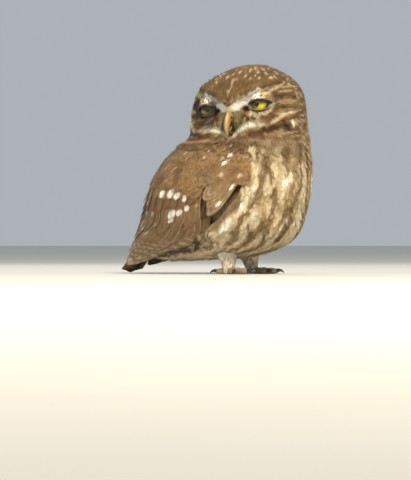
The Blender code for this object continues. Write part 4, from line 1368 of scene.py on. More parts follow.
    def build_face(self, draw: np.random.Generator) -> bpy.types.Object:
        """Makes the face's fine feathers: short at eyes and bill, longer and flatter on brow and whisker."""
        template = VaneTemplate.build(columns=3, rows=4, barbs=5, root=0.7, tip=0.2, fringe=0.3, seed=5)
        roots = self.scatter(12.0, self.surface.neck + 1.0, self.face_spacing, draw)
        local = HEAD.from_body(roots.place)
        bare = Eye.opening(*HEAD.near_eye(local)) | self.in_bill(local)
        roots = roots.chosen(self.on_face(local) & ~bare)
        local = HEAD.from_body(roots.place)
        angle, up = np.abs(np.degrees(np.arctan2(local[:, 0], local[:, 1]))), local[:, 2]
        low = fade(-16.0, -9.0, up)
        brow, whisker = (stroke.cover(angle, up, 0.6, 1.0, 0.0) for stroke in (BROW, WHISKER))
        by_eye = bell(self.eye_distance(local), 9.5)
        by_bill = bell(local[:, 0], 5.0)
        length = draw.uniform(3.6, 4.6, len(roots.way)) + 2.6 * low * (1.0 - by_bill)
        length = length + 1.4 * brow + 1.6 * whisker - 1.8 * by_eye * (1.0 - brow)
        flat = np.maximum(brow, whisker)
        lift = 0.5 + 0.35 * brow + 0.5 * whisker * (1.0 - by_bill) + 0.9 * low * (1.0 - by_bill)
        sizes = (length, 0.52 + 0.3 * flat + 0.1 * low, -1.2 + 0.7 * flat, lift)
        coat = FeatherCoat("coat_face", self.surface, roots, *sizes, template, on_lids=True)
        return coat.build(self.tint(coat, draw, slip=0.15, spots=0.0, vary=0.44), self.material, draw)

    def build_body(self, draw: np.random.Generator) -> list[bpy.types.Object]:
        """Makes the breast's and the back's larger feathers, all but those under the folded wings."""
        surface = self.surface
        template = VaneTemplate.build(columns=7, rows=7, barbs=24, root=0.4, tip=0.2, fringe=0.2, seed=7)
        roots = self.scatter(surface.neck - 3.0, surface.length - 3.0, self.body_spacing, draw)
        station, angle = surface.station_at(roots.way), from_breast(roots.degrees)
        free = (TRUNK.bed_depth(station, roots.degrees) < 1.0) | (station < 0.6)
        roots = roots.chosen(free | (angle < flank_line(roots.way)) | ((angle > 136.0) & (station > 4.5)))
        angle = from_breast(roots.degrees)
        made = []
        for name, keep, spots in (("coat_breast", angle < 76.0, 0.0), ("coat_back", angle >= 76.0, 0.16)):
            part = roots.chosen(keep)
            station = surface.station_at(part.way)
            grown = smooth_step(-0.5, 1.8, station)
            length = (8.0 + 6.5 * grown) * draw.uniform(0.88, 1.12, len(part.way))
            width = (2.0 + 0.9 * grown) * draw.uniform(0.9, 1.1, len(part.way))
            sunk = 0.45 * TRUNK.bed_depth(station, part.degrees) * (angle[keep] > 100.0)
            sizes = (length, width, -1.5 - sunk, 0.6 - sunk)
            coat = FeatherCoat(name, surface, part, *sizes, template, camber=0.2, unrest=0.22)
            tint = self.tint(coat, draw, slip=0.7, spots=spots, vary=0.26)
            made.append(coat.build(tint, self.material, draw))
        return made

    def build_coverts(self, flank: Flank, draw: np.random.Generator) -> bpy.types.Object:
        """Makes the small, smooth feathers over one wing's upper part."""
        surface, word = self.surface, flank.name.lower()
        roots = self.scatter(surface.way_at(0.1), surface.way_at(3.2), 2.3, draw)
        turn = (roots.degrees + 180.0) % 360.0 - 180.0
        within = self.coverts(roots.way, roots.degrees) & self.coverts(roots.way + 8.0, roots.degrees)
        roots = roots.chosen(within & (turn * flank.value > 0))
        station = surface.station_at(roots.way)
        length = 9.5 * draw.uniform(0.85, 1.15, len(roots.way))
        template = VaneTemplate.build(columns=5, rows=6, barbs=14, root=0.5, tip=0.25, fringe=0.14, seed=11)
        sizes = (length, 2.3, -1.0, 0.9 + 0.3 * smooth_step(1.5, 3.0, station))
        name = f"coat_shoulder_{word}"
        coat = FeatherCoat(name, surface, roots, *sizes, template, camber=0.1, unrest=0.06)
        return coat.build(self.tint(coat, draw, slip=0.6, spots=0.0, vary=0.14), self.material, draw)

    def add_crown_spots(self, coat: FeatherCoat, tint: Array) -> Array:
        """Pale drops on the crown: soft ellipses at the listed places and at others turned behind them."""
        local = HEAD.from_body(coat.chart(np.random.default_rng(1), 0.0)[2])
        turn = np.degrees(np.arctan2(local[..., 0], local[..., 1]))
        radius = np.hypot(local[..., 0], local[..., 1])
        for angle, up in CROWN_SPOTS + tuple((angle + 180.0, up - 1.0) for angle, up in CROWN_SPOTS):
            off = (turn - angle + 180.0) % 360.0 - 180.0
            far = np.hypot(np.radians(off) * radius / 0.85, (local[..., 2] - up) / 1.35)
            tint = mix(tint, INK["cream"], 0.85 * fade(0.6, 1.3, far))
        return tint

    def on_face(self, local: Array) -> Array:
        """Whether a place in the head's frame belongs to the finely feathered face."""
        return (local[:, 1] > 6.0) & (local[:, 2] < 25.0 - 0.12 * np.abs(local[:, 0]))

    def eye_distance(self, local: Array) -> Array:
        """Distance from the nearer eye's middle, seen from the front."""
        return np.hypot(np.abs(local[:, 0]) - HEAD.eye_side, local[:, 2] - HEAD.eye_height)

    def in_bill(self, local: Array) -> Array:
        """Whether a root lies under the bill."""
        half = np.interp(local[:, 2], (-19.0, -14.0, -7.0, 2.0, 7.0), (1.8, 2.6, 2.6, 2.3, 1.5))
        level = (local[:, 2] < 6.5) & (local[:, 2] > -18.5)
        return (np.abs(local[:, 0]) < half) & level & (local[:, 1] > 0.0)


@dataclass
class Skin:
    """One skin under head, neck and trunk: the body's surface moved inwards by the coat's depth."""

    surface: BodySurface
    markings: Markings
    depth: float = 2.2
    face_depth: float = 1.1

    def build(self, material: bpy.types.Material) -> bpy.types.Object:
        """Makes the skin with the coat's own markings and closes it at both ends."""
        surface = self.surface
        columns = np.arange(0, surface.columns, 2)
        points, normals = surface.points[:, columns], surface.normals[:, columns]
        way = np.arange(len(surface.points))[:, None] * surface.step + 0.0 * columns
        degrees = columns[None, :] * 360.0 / surface.columns + 0.0 * way
        station = surface.station_at(way)
        local = HEAD.from_body(points)
        facial = smooth_step(0.0, 14.0, local[..., 1]) * (station < 0.0)
        depth = self.depth + (self.face_depth - self.depth) * facial
        depth = depth + 0.7 * TRUNK.bed_depth(np.maximum(station, 0.0), degrees)
        points = points - normals * depth[..., None]
        tint = self.markings.colour(local, way, degrees)
        bake = np.stack((degrees / 360.0, way / surface.length), -1).reshape(-1, 2) * 0.98 + 0.01
        loops, sizes, ends = closed_faces(points)
        made = make_piece(
            "skin", np.concatenate((points.reshape(-1, 3), ends)), loops, sizes, material,
            np.concatenate((tint.reshape(-1, 3), tint[0, :1], tint[-1, :1])),
            bake=np.concatenate((bake, [[0.5, 0.005], [0.5, 0.995]])),
        )
        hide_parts("head", "neck", "torso")
        return made


class Mark(Enum):
    """How a large feather is marked."""

    PLAIN = "plain"
    BARS = "bars"
    NOTCHES = "notches"
    SHAFTS = "shafts"
    EDGED = "edged"
    LOBE = "lobe"


@dataclass(frozen=True)
class Tier:
    """A row of large feathers on the folded wing. Its lines run from the front back, as station and angle."""

    count: int
    roots: tuple
    middles: tuple
    tips: tuple
    half_width: float
    heights: tuple
    mark: Mark
    ink: str = "mantle"
    stagger: float = 0.06
    slope: float = 0.09


WING_SPOTS = (
    (0.45, 76.0, 2.4, 1.5, -30.0, "white"), (0.95, 77.0, 2.5, 1.8, -35.0, "white"),
    (1.38, 84.0, 2.0, 1.3, -20.0, "cream"), (1.74, 80.0, 3.0, 1.6, -28.0, "white"),
    (2.50, 79.5, 2.1, 1.6, -30.0, "cream"), (2.50, 65.5, 2.0, 1.4, -45.0, "cream"),
    (3.12, 67.0, 2.7, 1.1, -62.0, "white"), (4.10, 73.5, 3.0, 1.3, -52.0, "white"),
    (4.02, 120.0, 3.4, 2.9, -70.0, "white"), (3.94, 111.0, 3.5, 3.1, -60.0, "white"),
    (3.98, 104.5, 3.4, 2.6, -65.0, "white"), (4.08, 98.0, 2.7, 1.8, 80.0, "white"),
    (4.42, 89.0, 1.6, 1.1, -70.0, "buff"), (4.67, 95.0, 2.9, 2.1, -80.0, "white"),
    (5.05, 100.0, 3.6, 2.3, -60.0, "white"), (5.28, 106.0, 4.8, 3.1, -70.0, "white"),
    (5.75, 105.0, 2.9, 1.6, -50.0, "white"), (7.40, 121.0, 2.6, 1.5, -70.0, "ash"),
    (1.21, 113.0, 3.0, 0.8, -50.0, "buff"), (2.43, 133.0, 2.4, 0.7, -35.0, "buff"),
    (2.51, 121.0, 2.6, 0.6, -55.0, "cream"), (3.20, 123.0, 2.6, 0.7, -40.0, "cream"),
    (3.64, 143.0, 2.4, 0.9, -60.0, "cream"), (2.59, 109.0, 2.6, 0.7, -10.0, "tan"),
    (4.9, 141.0, 2.2, 1.3, -70.0, "cream"), (5.6, 128.0, 2.2, 1.2, -70.0, "cream"),
    (6.4, 118.0, 2.4, 1.2, -70.0, "buff"), (6.5, 138.0, 2.2, 1.2, -70.0, "cream"),
)


@dataclass
class Wing:
    """A folded wing: tiers of feathers that lie over each other like roof tiles along the trunk's surface."""

    flank: Flank
    material: bpy.types.Material
    rows: int = 44
    columns: int = 13
    tiers: tuple = (
        Tier(
            12, ((4.2, 82.0), (4.2, 112.0)), ((6.2, 79.0), (6.8, 92.0), (7.2, 112.0)),
            ((8.7, 58.0), (9.6, 52.0), (10.4, 56.0), (10.9, 64.0), (11.2, 76.0), (11.2, 92.0), (10.8, 110.0)),
            5.2, (-4.8, -2.8, -1.2), Mark.NOTCHES, "flight", 0.1,
        ),
        Tier(
            15, ((3.6, 89.0), (3.6, 146.0)),
            ((5.5, 87.0), (6.1, 96.0), (6.6, 101.0), (6.9, 108.0), (7.2, 116.0), (7.5, 132.0)),
            ((7.9, 72.0), (8.7, 70.0), (9.4, 75.0), (9.9, 83.0), (10.2, 96.0), (10.2, 118.0), (9.6, 146.0)),
            4.4, (-3.4, -1.6, -0.8), Mark.SHAFTS, "flight", 0.35, 0.07,
        ),
        Tier(
            4, ((3.4, 134.0), (3.4, 152.0)), ((6.0, 138.0), (5.6, 160.0)), ((8.7, 142.0), (7.6, 168.0)), 7.0,
            (-2.8, -1.2, -0.6), Mark.BARS, "flight", 0.2,
        ),
        # Dark feathers under the lobe: painted shade for the gap beneath it.
        Tier(
            4, ((3.4, 76.0), (3.5, 88.0)), ((4.2, 78.0), (4.4, 88.0)), ((5.0, 81.0), (5.5, 87.0)), 4.4,
            (-5.0, -3.6, -3.0), Mark.PLAIN, "flight_dark",
        ),
        Tier(
            12, ((3.0, 89.0), (3.0, 146.0)), ((4.3, 90.0), (4.6, 105.0), (4.8, 138.0)),
            ((5.6, 86.0), (6.1, 93.0), (6.5, 101.0), (6.9, 111.0), (7.0, 136.0)),
            4.6, (-2.2, -0.9, -0.8), Mark.SHAFTS, "flight", 0.4,
        ),
        Tier(
            8, ((2.4, 92.0), (2.4, 150.0)), ((3.7, 94.0), (3.8, 150.0)),
            ((4.5, 93.0), (4.9, 107.0), (5.4, 126.0), (5.6, 150.0)),
            5.8, (-1.9, -0.5, 0.0), Mark.EDGED, "mantle", 0.15,
        ),
        Tier(
            10, ((1.7, 86.0), (1.7, 150.0)), ((3.0, 90.0), (3.0, 150.0)),
            ((4.0, 92.0), (4.15, 103.0), (4.25, 112.0), (4.35, 122.0), (4.6, 152.0)),
            5.4, (-1.6, -0.2, 0.35), Mark.PLAIN, "mantle", 0.05, 0.05,
        ),
        Tier(
            3, ((1.6, 66.0), (1.5, 76.0)), ((3.0, 70.0), (2.9, 78.0)),
            ((4.85, 79.0), (4.4, 81.0), (3.95, 84.0)), 5.8, (-1.2, 0.4, 0.9), Mark.LOBE,
        ),
    )

    def outline(self, share: Array) -> Array:
        """Half width along a feather: a smooth rise from the root, closed at the tip by an ellipse."""
        root = 0.55 + 0.45 * smooth_step(0.0, 0.35, share)
        return root * tapered(share, 0.7, 0.305)

    def on_line(self, marks: tuple, share: float) -> Array:
        """The place at a share of the way along a line of marks, straight between them."""
        places = np.linspace(0.0, 1.0, len(marks))
        return np.array([np.interp(share, places, values) for values in zip(*marks)])

    def feather_chart(self, tier: Tier, number: int, draw: np.random.Generator) -> tuple[Array, ...]:
        """One feather in the trunk's chart.

        The middle line bends evenly in station and angle, through root, middle and tip. Points lie across it
        at an even height, less the tilt that lets the next feather's edge pass over, less a camber, plus a
        low ridge for the shaft.

        Args:
            tier: its row.
            number: its place in the row, from the front.
            draw: the random source.

        Returns:
            Stations, angles and heights of its points, and its length in millimetres.
        """
        place = number / (tier.count - 1.0)
        root, half_way, tip = (self.on_line(line, place) for line in (tier.roots, tier.middles, tier.tips))
        tip = tip + draw.uniform(-1.0, 1.0, 2) * (tier.stagger, 1.0)
        share = np.linspace(0.0, 1.0, self.rows)
        run = share[:, None]
        middle = root * (1 - run) * (1 - 2 * run) + half_way * 4 * run * (1 - run) + tip * run * (2 * run - 1)
        length = float(np.linalg.norm(np.diff(TRUNK.base(middle[:, 0], middle[:, 1]), axis=0), axis=1).sum())
        side = np.linspace(-1.0, 1.0, self.columns)
        turn = np.maximum(TRUNK.turn(middle[:, 0], middle[:, 1]), 0.12)[:, None]
        rate = TRUNK.rate(middle[:, 0], middle[:, 1])[:, None]
        down = unit(np.gradient(middle, axis=0) * np.concatenate((rate, turn), axis=1))
        half = tier.half_width * draw.uniform(0.92, 1.08) * self.outline(share)
        edge = draw.normal(0.0, 0.1, (self.rows, 2)) * smooth_step(0.1, 0.3, share)[:, None]
        reach = half[:, None] * side + np.where(side < 0, edge[:, :1], edge[:, 1:]) * np.abs(side) ** 3
        station = middle[:, :1] - reach * down[:, 1:] / rate
        angle = middle[:, 1:] + reach * down[:, :1] / turn
        lift = np.interp(share, (0.0, 0.35, 1.0), tier.heights)[:, None] - tier.slope * reach - 0.22 * side**2
        lift = lift + 0.12 * bell(side, 0.13) + draw.normal(0.0, 0.04)
        return station, angle, lift, length

    def tint(self, tier: Tier, station: Array, angle: Array, length: float, luck: Array) -> Array:
        """Colours of one feather by its kind of marking, then the spots that lie on this part of the wing."""
        side = np.broadcast_to(np.linspace(-1.0, 1.0, self.columns), station.shape)
        share = np.broadcast_to(np.linspace(0.0, 1.0, self.rows)[:, None], station.shape)
        left = length - share * length
        even = 0.0 * side
        brown = mix(INK[tier.ink], INK["mantle"], 0.25 + 0.35 * luck[1] + even)
        darker = 0.3 * smooth_step(-0.2, 1.0, side) * (tier.ink == "flight") + 0.15 * luck[2]
        brown = mix(brown, INK["mantle_dark"], darker)
        brown = brown * (0.9 + 0.2 * luck[0]) * (0.88 + 0.14 * smooth_step(0.2, 0.9, share))[..., None]
        pale = mix(INK["buff"], INK["white"], 0.15 + 0.4 * luck[1] + even)
        mask = even
        if tier.mark is Mark.NOTCHES:
            brown = mix(brown, INK["tan"], 0.75 * smooth_step(0.3, 0.7, share))
            mask = bars(left, 3.0, 7.0, 0.2) * fade(-0.6, 0.3, side) * (left > 0.9)
            mask = np.maximum(mask * smooth_step(0.5, 0.7, share) * 0.95, 0.25 * bell(side, 0.07))
        elif tier.mark is Mark.BARS:
            mask = bars(left, 4.0, 12.0, 0.15) * (0.5 - 0.4 * smooth_step(-0.7, 0.3, side))
        elif tier.mark is Mark.SHAFTS:
            mask = 0.42 * fade(-1.0, -0.84, side) + 0.22 * bell(side, 0.06)
            wave = bars(left, 2.0, 6.0, 0.22) * fade(-0.7, 0.2, side)
            tip = smooth_step(0.62, 0.8, share) * (tier.count > 12)
            mask = np.maximum(mask * smooth_step(0.2, 0.5, share), (0.4 + 0.5 * luck[0]) * wave * tip)
        elif tier.mark is Mark.LOBE:
            rim = np.hypot(side, np.clip(share - 0.6, 0.0, 1.0) / 0.4)
            mask = 0.4 * bell(rim - 0.6, 0.08) + 0.45 * bell(rim - 0.95, 0.06)
            mask = mask * smooth_step(0.3, 0.6, share)
        elif tier.mark is Mark.EDGED:
            brown = mix(brown, INK["mantle_dark"], 0.35 + even)
            rim = smooth_step(0.7, 0.98, np.hypot(side, share)) * smooth_step(0.5, 0.9, share)
            brown = mix(brown, INK["rufous"], 0.3 * rim)
        colour = mix(brown, pale, np.clip(mask, 0.0, 1.0))
        # The dark row under the lobe is painted shade and gets no spots.
        return colour if tier.ink == "flight_dark" else wing_spots(colour, station, angle)

    def build(self) -> bpy.types.Object:
        """Makes the whole wing as one joined mesh."""
        draw = np.random.default_rng(SEED + 2)
        side, share = np.meshgrid(np.linspace(0.0, 1.0, self.columns), np.linspace(0.0, 1.0, self.rows))
        vane = np.stack((side, share), -1).reshape(-1, 2)
        sheets, tints, bakes = [], [], []
        for row, tier in enumerate(self.tiers):
            for number in range(tier.count):
                station, angle, lift, length = self.feather_chart(tier, number, draw)
                points = TRUNK.place(station, self.flank.value * angle, lift)
                sheets.append(above_floor(points, 0.3).reshape(-1, 3))
                luck = draw.uniform(0.0, 1.0, 3)
                tints.append(self.tint(tier, station, angle, length, luck).reshape(-1, 3))
                spot = np.array(((row + 0.5) / len(self.tiers), (number + 0.5) / 12.0))
                bakes.append(spot + (vane - 0.5) * BAKE_PATCH)
        loops, sizes = grid_faces(self.rows, self.columns, False)
        if self.flank is Flank.RIGHT:
            loops = flipped(loops)
        count, word = len(sheets), self.flank.name.lower()
        made = make_piece(
            f"plumage_wing_{word}", np.concatenate(sheets), tiled(loops, count, len(vane)),
            np.tile(sizes, count), self.material, np.concatenate(tints), np.tile(vane, (count, 1)),
            np.concatenate(bakes),
        )
        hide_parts(f"wing_{word}")
        return made


@dataclass
class Tail:
    """The closed tail: stiff feathers side by side in the tail's own plane, the middle pair on top."""

    material: bpy.types.Material
    root: tuple = (0.0, 63.0, 32.5)
    lean: float = math.radians(39.0)
    pairs: int = 6
    length: float = 49.0
    rows: int = 30
    columns: int = 9

    def build(self) -> bpy.types.Object:
        """Makes the tail from the outline of its feathers, the right half's wound the other way."""
        draw = np.random.default_rng(SEED + 4)
        share, side = np.linspace(0.0, 1.0, self.rows), np.linspace(-1.0, 1.0, self.columns)
        vane = np.stack(np.broadcast_arrays(side * 0.5 + 0.5, share[:, None]), -1).reshape(-1, 2)
        run = self.root[2] / math.cos(self.lean) + 7.0
        left = (1.0 - share[:, None]) * run + 0.0 * side
        wave = bars(left, 3.0, 9.0, 0.16) * (left > 1.2)
        brown = mix(INK["flight_dark"], INK["flight"], 0.35 + 0.2 * smooth_step(0.0, 1.0, side) + 0.0 * left)
        tint = mix(brown, INK["buff"], 0.4 * wave).reshape(-1, 3)
        sheets, bakes = [], []
        for sign in (-1, 1):
            for place in range(self.pairs):
                sheets.append(self.feather(sign, place, run - 0.5 * place + draw.uniform(-0.4, 0.2)))
                bakes.append(np.array((0.5 + sign * (place + 1) / 16.0, 0.5)) + (vane - 0.5) * BAKE_PATCH)
        loops, sizes = grid_faces(self.rows, self.columns, False)
        half, count = tiled(loops, self.pairs, len(vane)), 2 * self.pairs
        loops = np.concatenate((flipped(half), half + self.pairs * len(vane)))
        made = make_piece(
            "plumage_tail", np.concatenate(sheets), loops, np.tile(sizes, count), self.material,
            np.tile(tint, (count, 1)), np.tile(vane, (count, 1)), np.concatenate(bakes),
        )
        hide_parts("tail")
        return made

    def feather(self, sign: int, place: int, run: float) -> Array:
        """Points of one feather, held above the floor.

        Args:
            sign: 1 for the left half and -1 for the right.
            place: its number from the middle.
            run: its length in millimetres.

        Returns:
            Its points, row by row.
        """
        down = np.array((0.0, math.sin(self.lean), -math.cos(self.lean)))
        out = np.array((0.0, math.cos(self.lean), math.sin(self.lean)))
        share, side = np.linspace(0.0, 1.0, self.rows)[:, None], np.linspace(-1.0, 1.0, self.columns)
        pitch = 1.55 + 1.1 * smooth_step(0.25, 1.0, share)
        half = 5.4 * tapered(share, 0.82, 0.185) * (0.6 + 0.4 * smooth_step(0.0, 0.4, share))
        outer = pitch * (place + 1.0)
        spread = np.maximum(outer - half + half * side, -3.0 if place == 0 else 0.0)
        lift = 0.45 / pitch * (spread - outer) + (0.5 if sign > 0 else 0.0) + 0.9
        lift = lift + 0.16 * bell(side, 0.16) - 0.25 * side**2
        along = (-8.0 + run * share)[..., None]
        across = (sign * spread)[..., None] * np.array((1.0, 0.0, 0.0))
        points = np.array(self.root) + along * down + across + lift[..., None] * out
        return above_floor(points, 0.25).reshape(-1, 3)


@dataclass
class Eye:
    """An eyeball with pupil and iris, and the lids' rims round its half-shut opening.

    The opening is an almond on the ball: the sine of the turn, shaped by a power, times the height over
    or under its middle line, which falls a little outwards.
    """

    flank: Flank
    ball_material: bpy.types.Material
    lid_material: bpy.types.Material
    half_width: ClassVar[float] = 8.3
    upper: ClassVar[float] = 3.0
    lower: ClassVar[float] = 3.1
    middle: ClassVar[float] = -2.35
    fall: ClassVar[float] = 0.07
    pupil: float = 12.0
    edge: float = 47.0
    rings: int = 90
    sides: int = 72
    lid_sides: int = 120

    @classmethod
    def opening(cls, out: Array, ahead: Array, up: Array) -> Array:
        """Whether places in the eye's own frame, seen from its middle, lie in the opening or on its rims."""
        scale = HEAD.eye_radius / (np.sqrt(out**2 + ahead**2 + up**2) + 1e-9)
        out, height = out * scale, up * scale - cls.middle + cls.fall * out * scale
        reach = np.where(height > 0.0, cls.upper + 0.85 + 0.08 * out, cls.lower + 0.5)
        return ((out / (cls.half_width + 0.7)) ** 2 + (height / reach) ** 2 < 1.0) & (ahead > 0.0)

    def to_body(self, spread: Array) -> Array:
        """Turns points of the eye's own frame (across, forward, up) into the bird's."""
        axes = HEAD.eye_axes(self.flank)
        return HEAD.to_body(HEAD.eye_centre(self.flank) + spread @ axes)

    def build_ball(self) -> bpy.types.Object:
        """Makes the ball: rings of a sphere round the line of sight, coloured by their angle from it, with
        painted light and shade on the iris.
        """
        sight = unit(np.array((-0.17 * self.flank.value, 0.97, -0.2)))
        across = unit(np.cross(sight, np.array((0.0, 0.0, 1.0))))
        lean = np.radians(np.linspace(0.6, 179.4, self.rings))[:, None]
        turn = round_turn(self.sides)[None, :]
        bulge = HEAD.eye_radius + 0.25 * bell(np.degrees(lean), 26.0)
        round_sight = np.cos(turn)[..., None] * across + np.sin(turn)[..., None] * np.cross(across, sight)
        spread = bulge[..., None] * (np.sin(lean)[..., None] * round_sight + np.cos(lean)[..., None] * sight)
        angle = np.degrees(lean) + 0.0 * turn
        out, up = spread[..., 0] * self.flank.value, spread[..., 2]
        # Painted light and shade on the iris: shaded olive on the inner side, lit yellow outwards.
        iris = mix(linear("#5f6220"), linear("#dcc416"), smooth_step(-4.5, 1.5, out))
        iris = mix(iris, linear("#77721a"), smooth_step(28.0, self.edge, angle))
        iris = iris * (0.9 + 0.16 * np.sin(turn * 23.0 + 2.0 * np.sin(turn * 7.0)))[..., None]
        # Painted shade: the iris darkens under the upper lid, and the whole far eye is darkened.
        shade = 0.9 * smooth_step(-3.2, -1.0, up) * (1.0 if self.flank is Flank.LEFT else 1.05)
        iris = iris * (1.0 - shade)[..., None] * (1.0 if self.flank is Flank.LEFT else 0.3)
        colour = mix(linear("#050505"), iris, smooth_step(self.pupil - 1.0, self.pupil + 1.0, angle))
        colour = mix(colour, linear("#1c150c"), smooth_step(self.edge - 3.0, self.edge + 1.0, angle))
        loops, sizes, ends = closed_faces(spread)
        word = self.flank.name.lower()
        made = make_piece(
            f"eyeball_{word}", self.to_body(np.concatenate((spread.reshape(-1, 3), ends))), loops, sizes,
            self.ball_material, np.concatenate((colour.reshape(-1, 3), colour[0, :1], colour[-1, :1])),
        )
        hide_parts(f"eye_{word}")
        return made

    def build_lids(self) -> bpy.types.Object:
        """Makes the lids: from the opening's edge over a rounded rim and outwards round the ball."""
        turn = round_turn(self.lid_sides)[None, :]
        sine = np.sin(turn)
        wide = self.half_width * np.cos(turn)
        tall = np.where(sine > 0, self.upper, self.lower) * np.sign(sine) * np.abs(sine) ** 1.15
        tall = tall * np.where(sine > 0, 1.0 + 0.35 * np.cos(turn) * self.flank.value, 1.0)
        tall = tall + self.middle - self.fall * wide * self.flank.value
        steps = np.array((0.0, 0.05, 0.25, 0.6, 1.1, 1.8, 2.8, 4.2, 6.0))[:, None]
        rises = np.array((-0.05, 0.35, 0.7, 0.85, 0.9, 0.85, 0.6, 0.2, -0.8))[:, None]
        middle = np.array((0.0, self.middle))
        far = np.hypot(wide, tall - middle[1]) + 1e-9
        grow = (far + steps) / far
        across, up = wide * grow, middle[1] + (tall - middle[1]) * grow
        over = smooth_step(-0.1, 0.4, sine)
        radius = HEAD.eye_radius + 0.1 + rises * (1.0 + 0.35 * over)
        flat = np.hypot(across, up)
        held = np.minimum(flat, radius * 0.97)
        spread = np.stack((across * held / flat, np.sqrt(radius**2 - held**2), up * held / flat), -1)
        # The far eye's lower rim is darker as painted shade. The upper lid and the corners go near black: a
        # dark lid margin, deepened as painted shade from the brow.
        corner = smooth_step(0.55, 0.95, np.abs(np.cos(turn)))
        pale = linear("#857f69") if self.flank is Flank.LEFT else linear("#3a352a")
        bare = mix(pale, linear("#0e0a07"), np.maximum(over, corner) + 0.0 * steps)
        edge = 0.35 + 0.75 * over
        away = mix(linear("#4a3524"), linear("#7d5434"), over + 0.0 * steps)
        colour = mix(bare, away, smooth_step(edge, edge + 0.5, steps + 0.0 * turn))
        points = self.to_body(spread)
        loops, sizes = grid_faces(*points.shape[:2], True)
        if self.flank is Flank.LEFT:
            loops = flipped(loops)
        made = make_piece(
            f"lids_{self.flank.name.lower()}", points.reshape(-1, 3), loops, sizes, self.lid_material,
            colour.reshape(-1, 3),
        )
        return made


@dataclass
class Bill:
    """The hooked bill in two halves. Rows are forward, height, half width and depth under the ridge."""

    material: bpy.types.Material
    upper: tuple = (
        (28.5, 7.0, 3.6, 9.0), (35.0, 4.5, 3.3, 9.0), (38.3, 0.5, 2.8, 7.4), (39.7, -4.0, 2.5, 5.6),
        (39.4, -8.5, 2.1, 4.0), (37.6, -12.9, 1.4, 2.6), (35.6, -16.2, 0.5, 0.9),
    )
    lower: tuple = (
        (26.0, -3.8, 2.0, 3.4), (29.6, -5.6, 1.5, 3.0), (31.6, -8.2, 1.0, 2.0), (33.0, -10.8, 0.5, 1.0),
    )
    rings: int = 44
    sides: int = 40

    def half(self, profile: tuple, narrow: float) -> tuple[Array, Array]:
        """Points of one half: ellipses narrowed towards the ridge, carried along the profile's line."""
        shares = np.linspace(0.0, len(profile) - 1.0, self.rings)
        rows = follow(np.array(profile), shares)
        path = rows[:, :2]
        way = unit(np.gradient(path, axis=0))
        under = np.stack((way[:, 1], -way[:, 0]), -1)
        under = np.where(((under[:, 0] < 0) | (under[:, 1] < 0))[:, None], under, -under)
        turns = round_turn(self.sides)
        centre = path + under * rows[:, 3:4] / 2.0
        ridge = 1.0 - narrow * smooth_step(0.2, 1.0, np.cos(turns))
        spread = rows[:, 2:3] * np.sin(turns) * ridge
        fall = -(rows[:, 3:4] / 2.0) * np.cos(turns)
        ahead, up = (centre[:, axis : axis + 1] + under[:, axis : axis + 1] * fall for axis in (0, 1))
        points = np.stack((spread, ahead, up), -1)
        return points, shares / (len(profile) - 1.0)

    def build(self) -> list[bpy.types.Object]:
        """Makes both halves, each closed by a point at either end."""
        return [
            self.build_half("bill_ridge", self.upper, 0.35, "bill_upper"),
            self.build_half("bill_under", self.lower, 0.1, "bill_lower"),
        ]

    def build_half(self, name: str, profile: tuple, narrow: float, solid: str) -> bpy.types.Object:
        """Makes one half, pale on its ridge and dark at its tip. The upper one has nostrils and a grey base.

        Args:
            name: the piece's name.
            profile: its rows.
            narrow: how much the ridge is narrowed.
            solid: the packed solid that it replaces.

        Returns:
            The piece.
        """
        points, share = self.half(profile, narrow)
        share = share[:, None]
        sine = np.abs(np.sin(round_turn(self.sides)))
        flat = sine + 0.0 * share
        upper = name == "bill_ridge"
        pale = linear("#b5975f" if upper else "#6a5c3a")
        colour = mix(pale, linear("#6f6038"), 0.75 * smooth_step(0.35, 0.95, flat))
        colour = mix(colour, linear("#4a3b22"), 0.5 * smooth_step(0.8, 1.0, share) + 0.0 * flat)
        if upper:
            pit = bell(share - 0.3, 0.035) * bell(sine - 1.0, 0.06)
            points[..., 0] *= 1.0 - 0.22 * pit
            colour = mix(colour, linear("#1d150c"), 0.9 * pit)
            colour = mix(colour, linear("#6d6547"), 0.55 * fade(0.1, 0.3, share) + 0.0 * flat)
        loops, sizes, ends = closed_faces(points)
        tint = np.concatenate((colour.reshape(-1, 3), [colour[0, 0], colour[-1, 0]]))
        full = HEAD.to_body(np.concatenate((points.reshape(-1, 3), ends)))
        piece = make_piece(name, full, loops, sizes, self.material, tint)
        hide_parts(solid)
        return piece


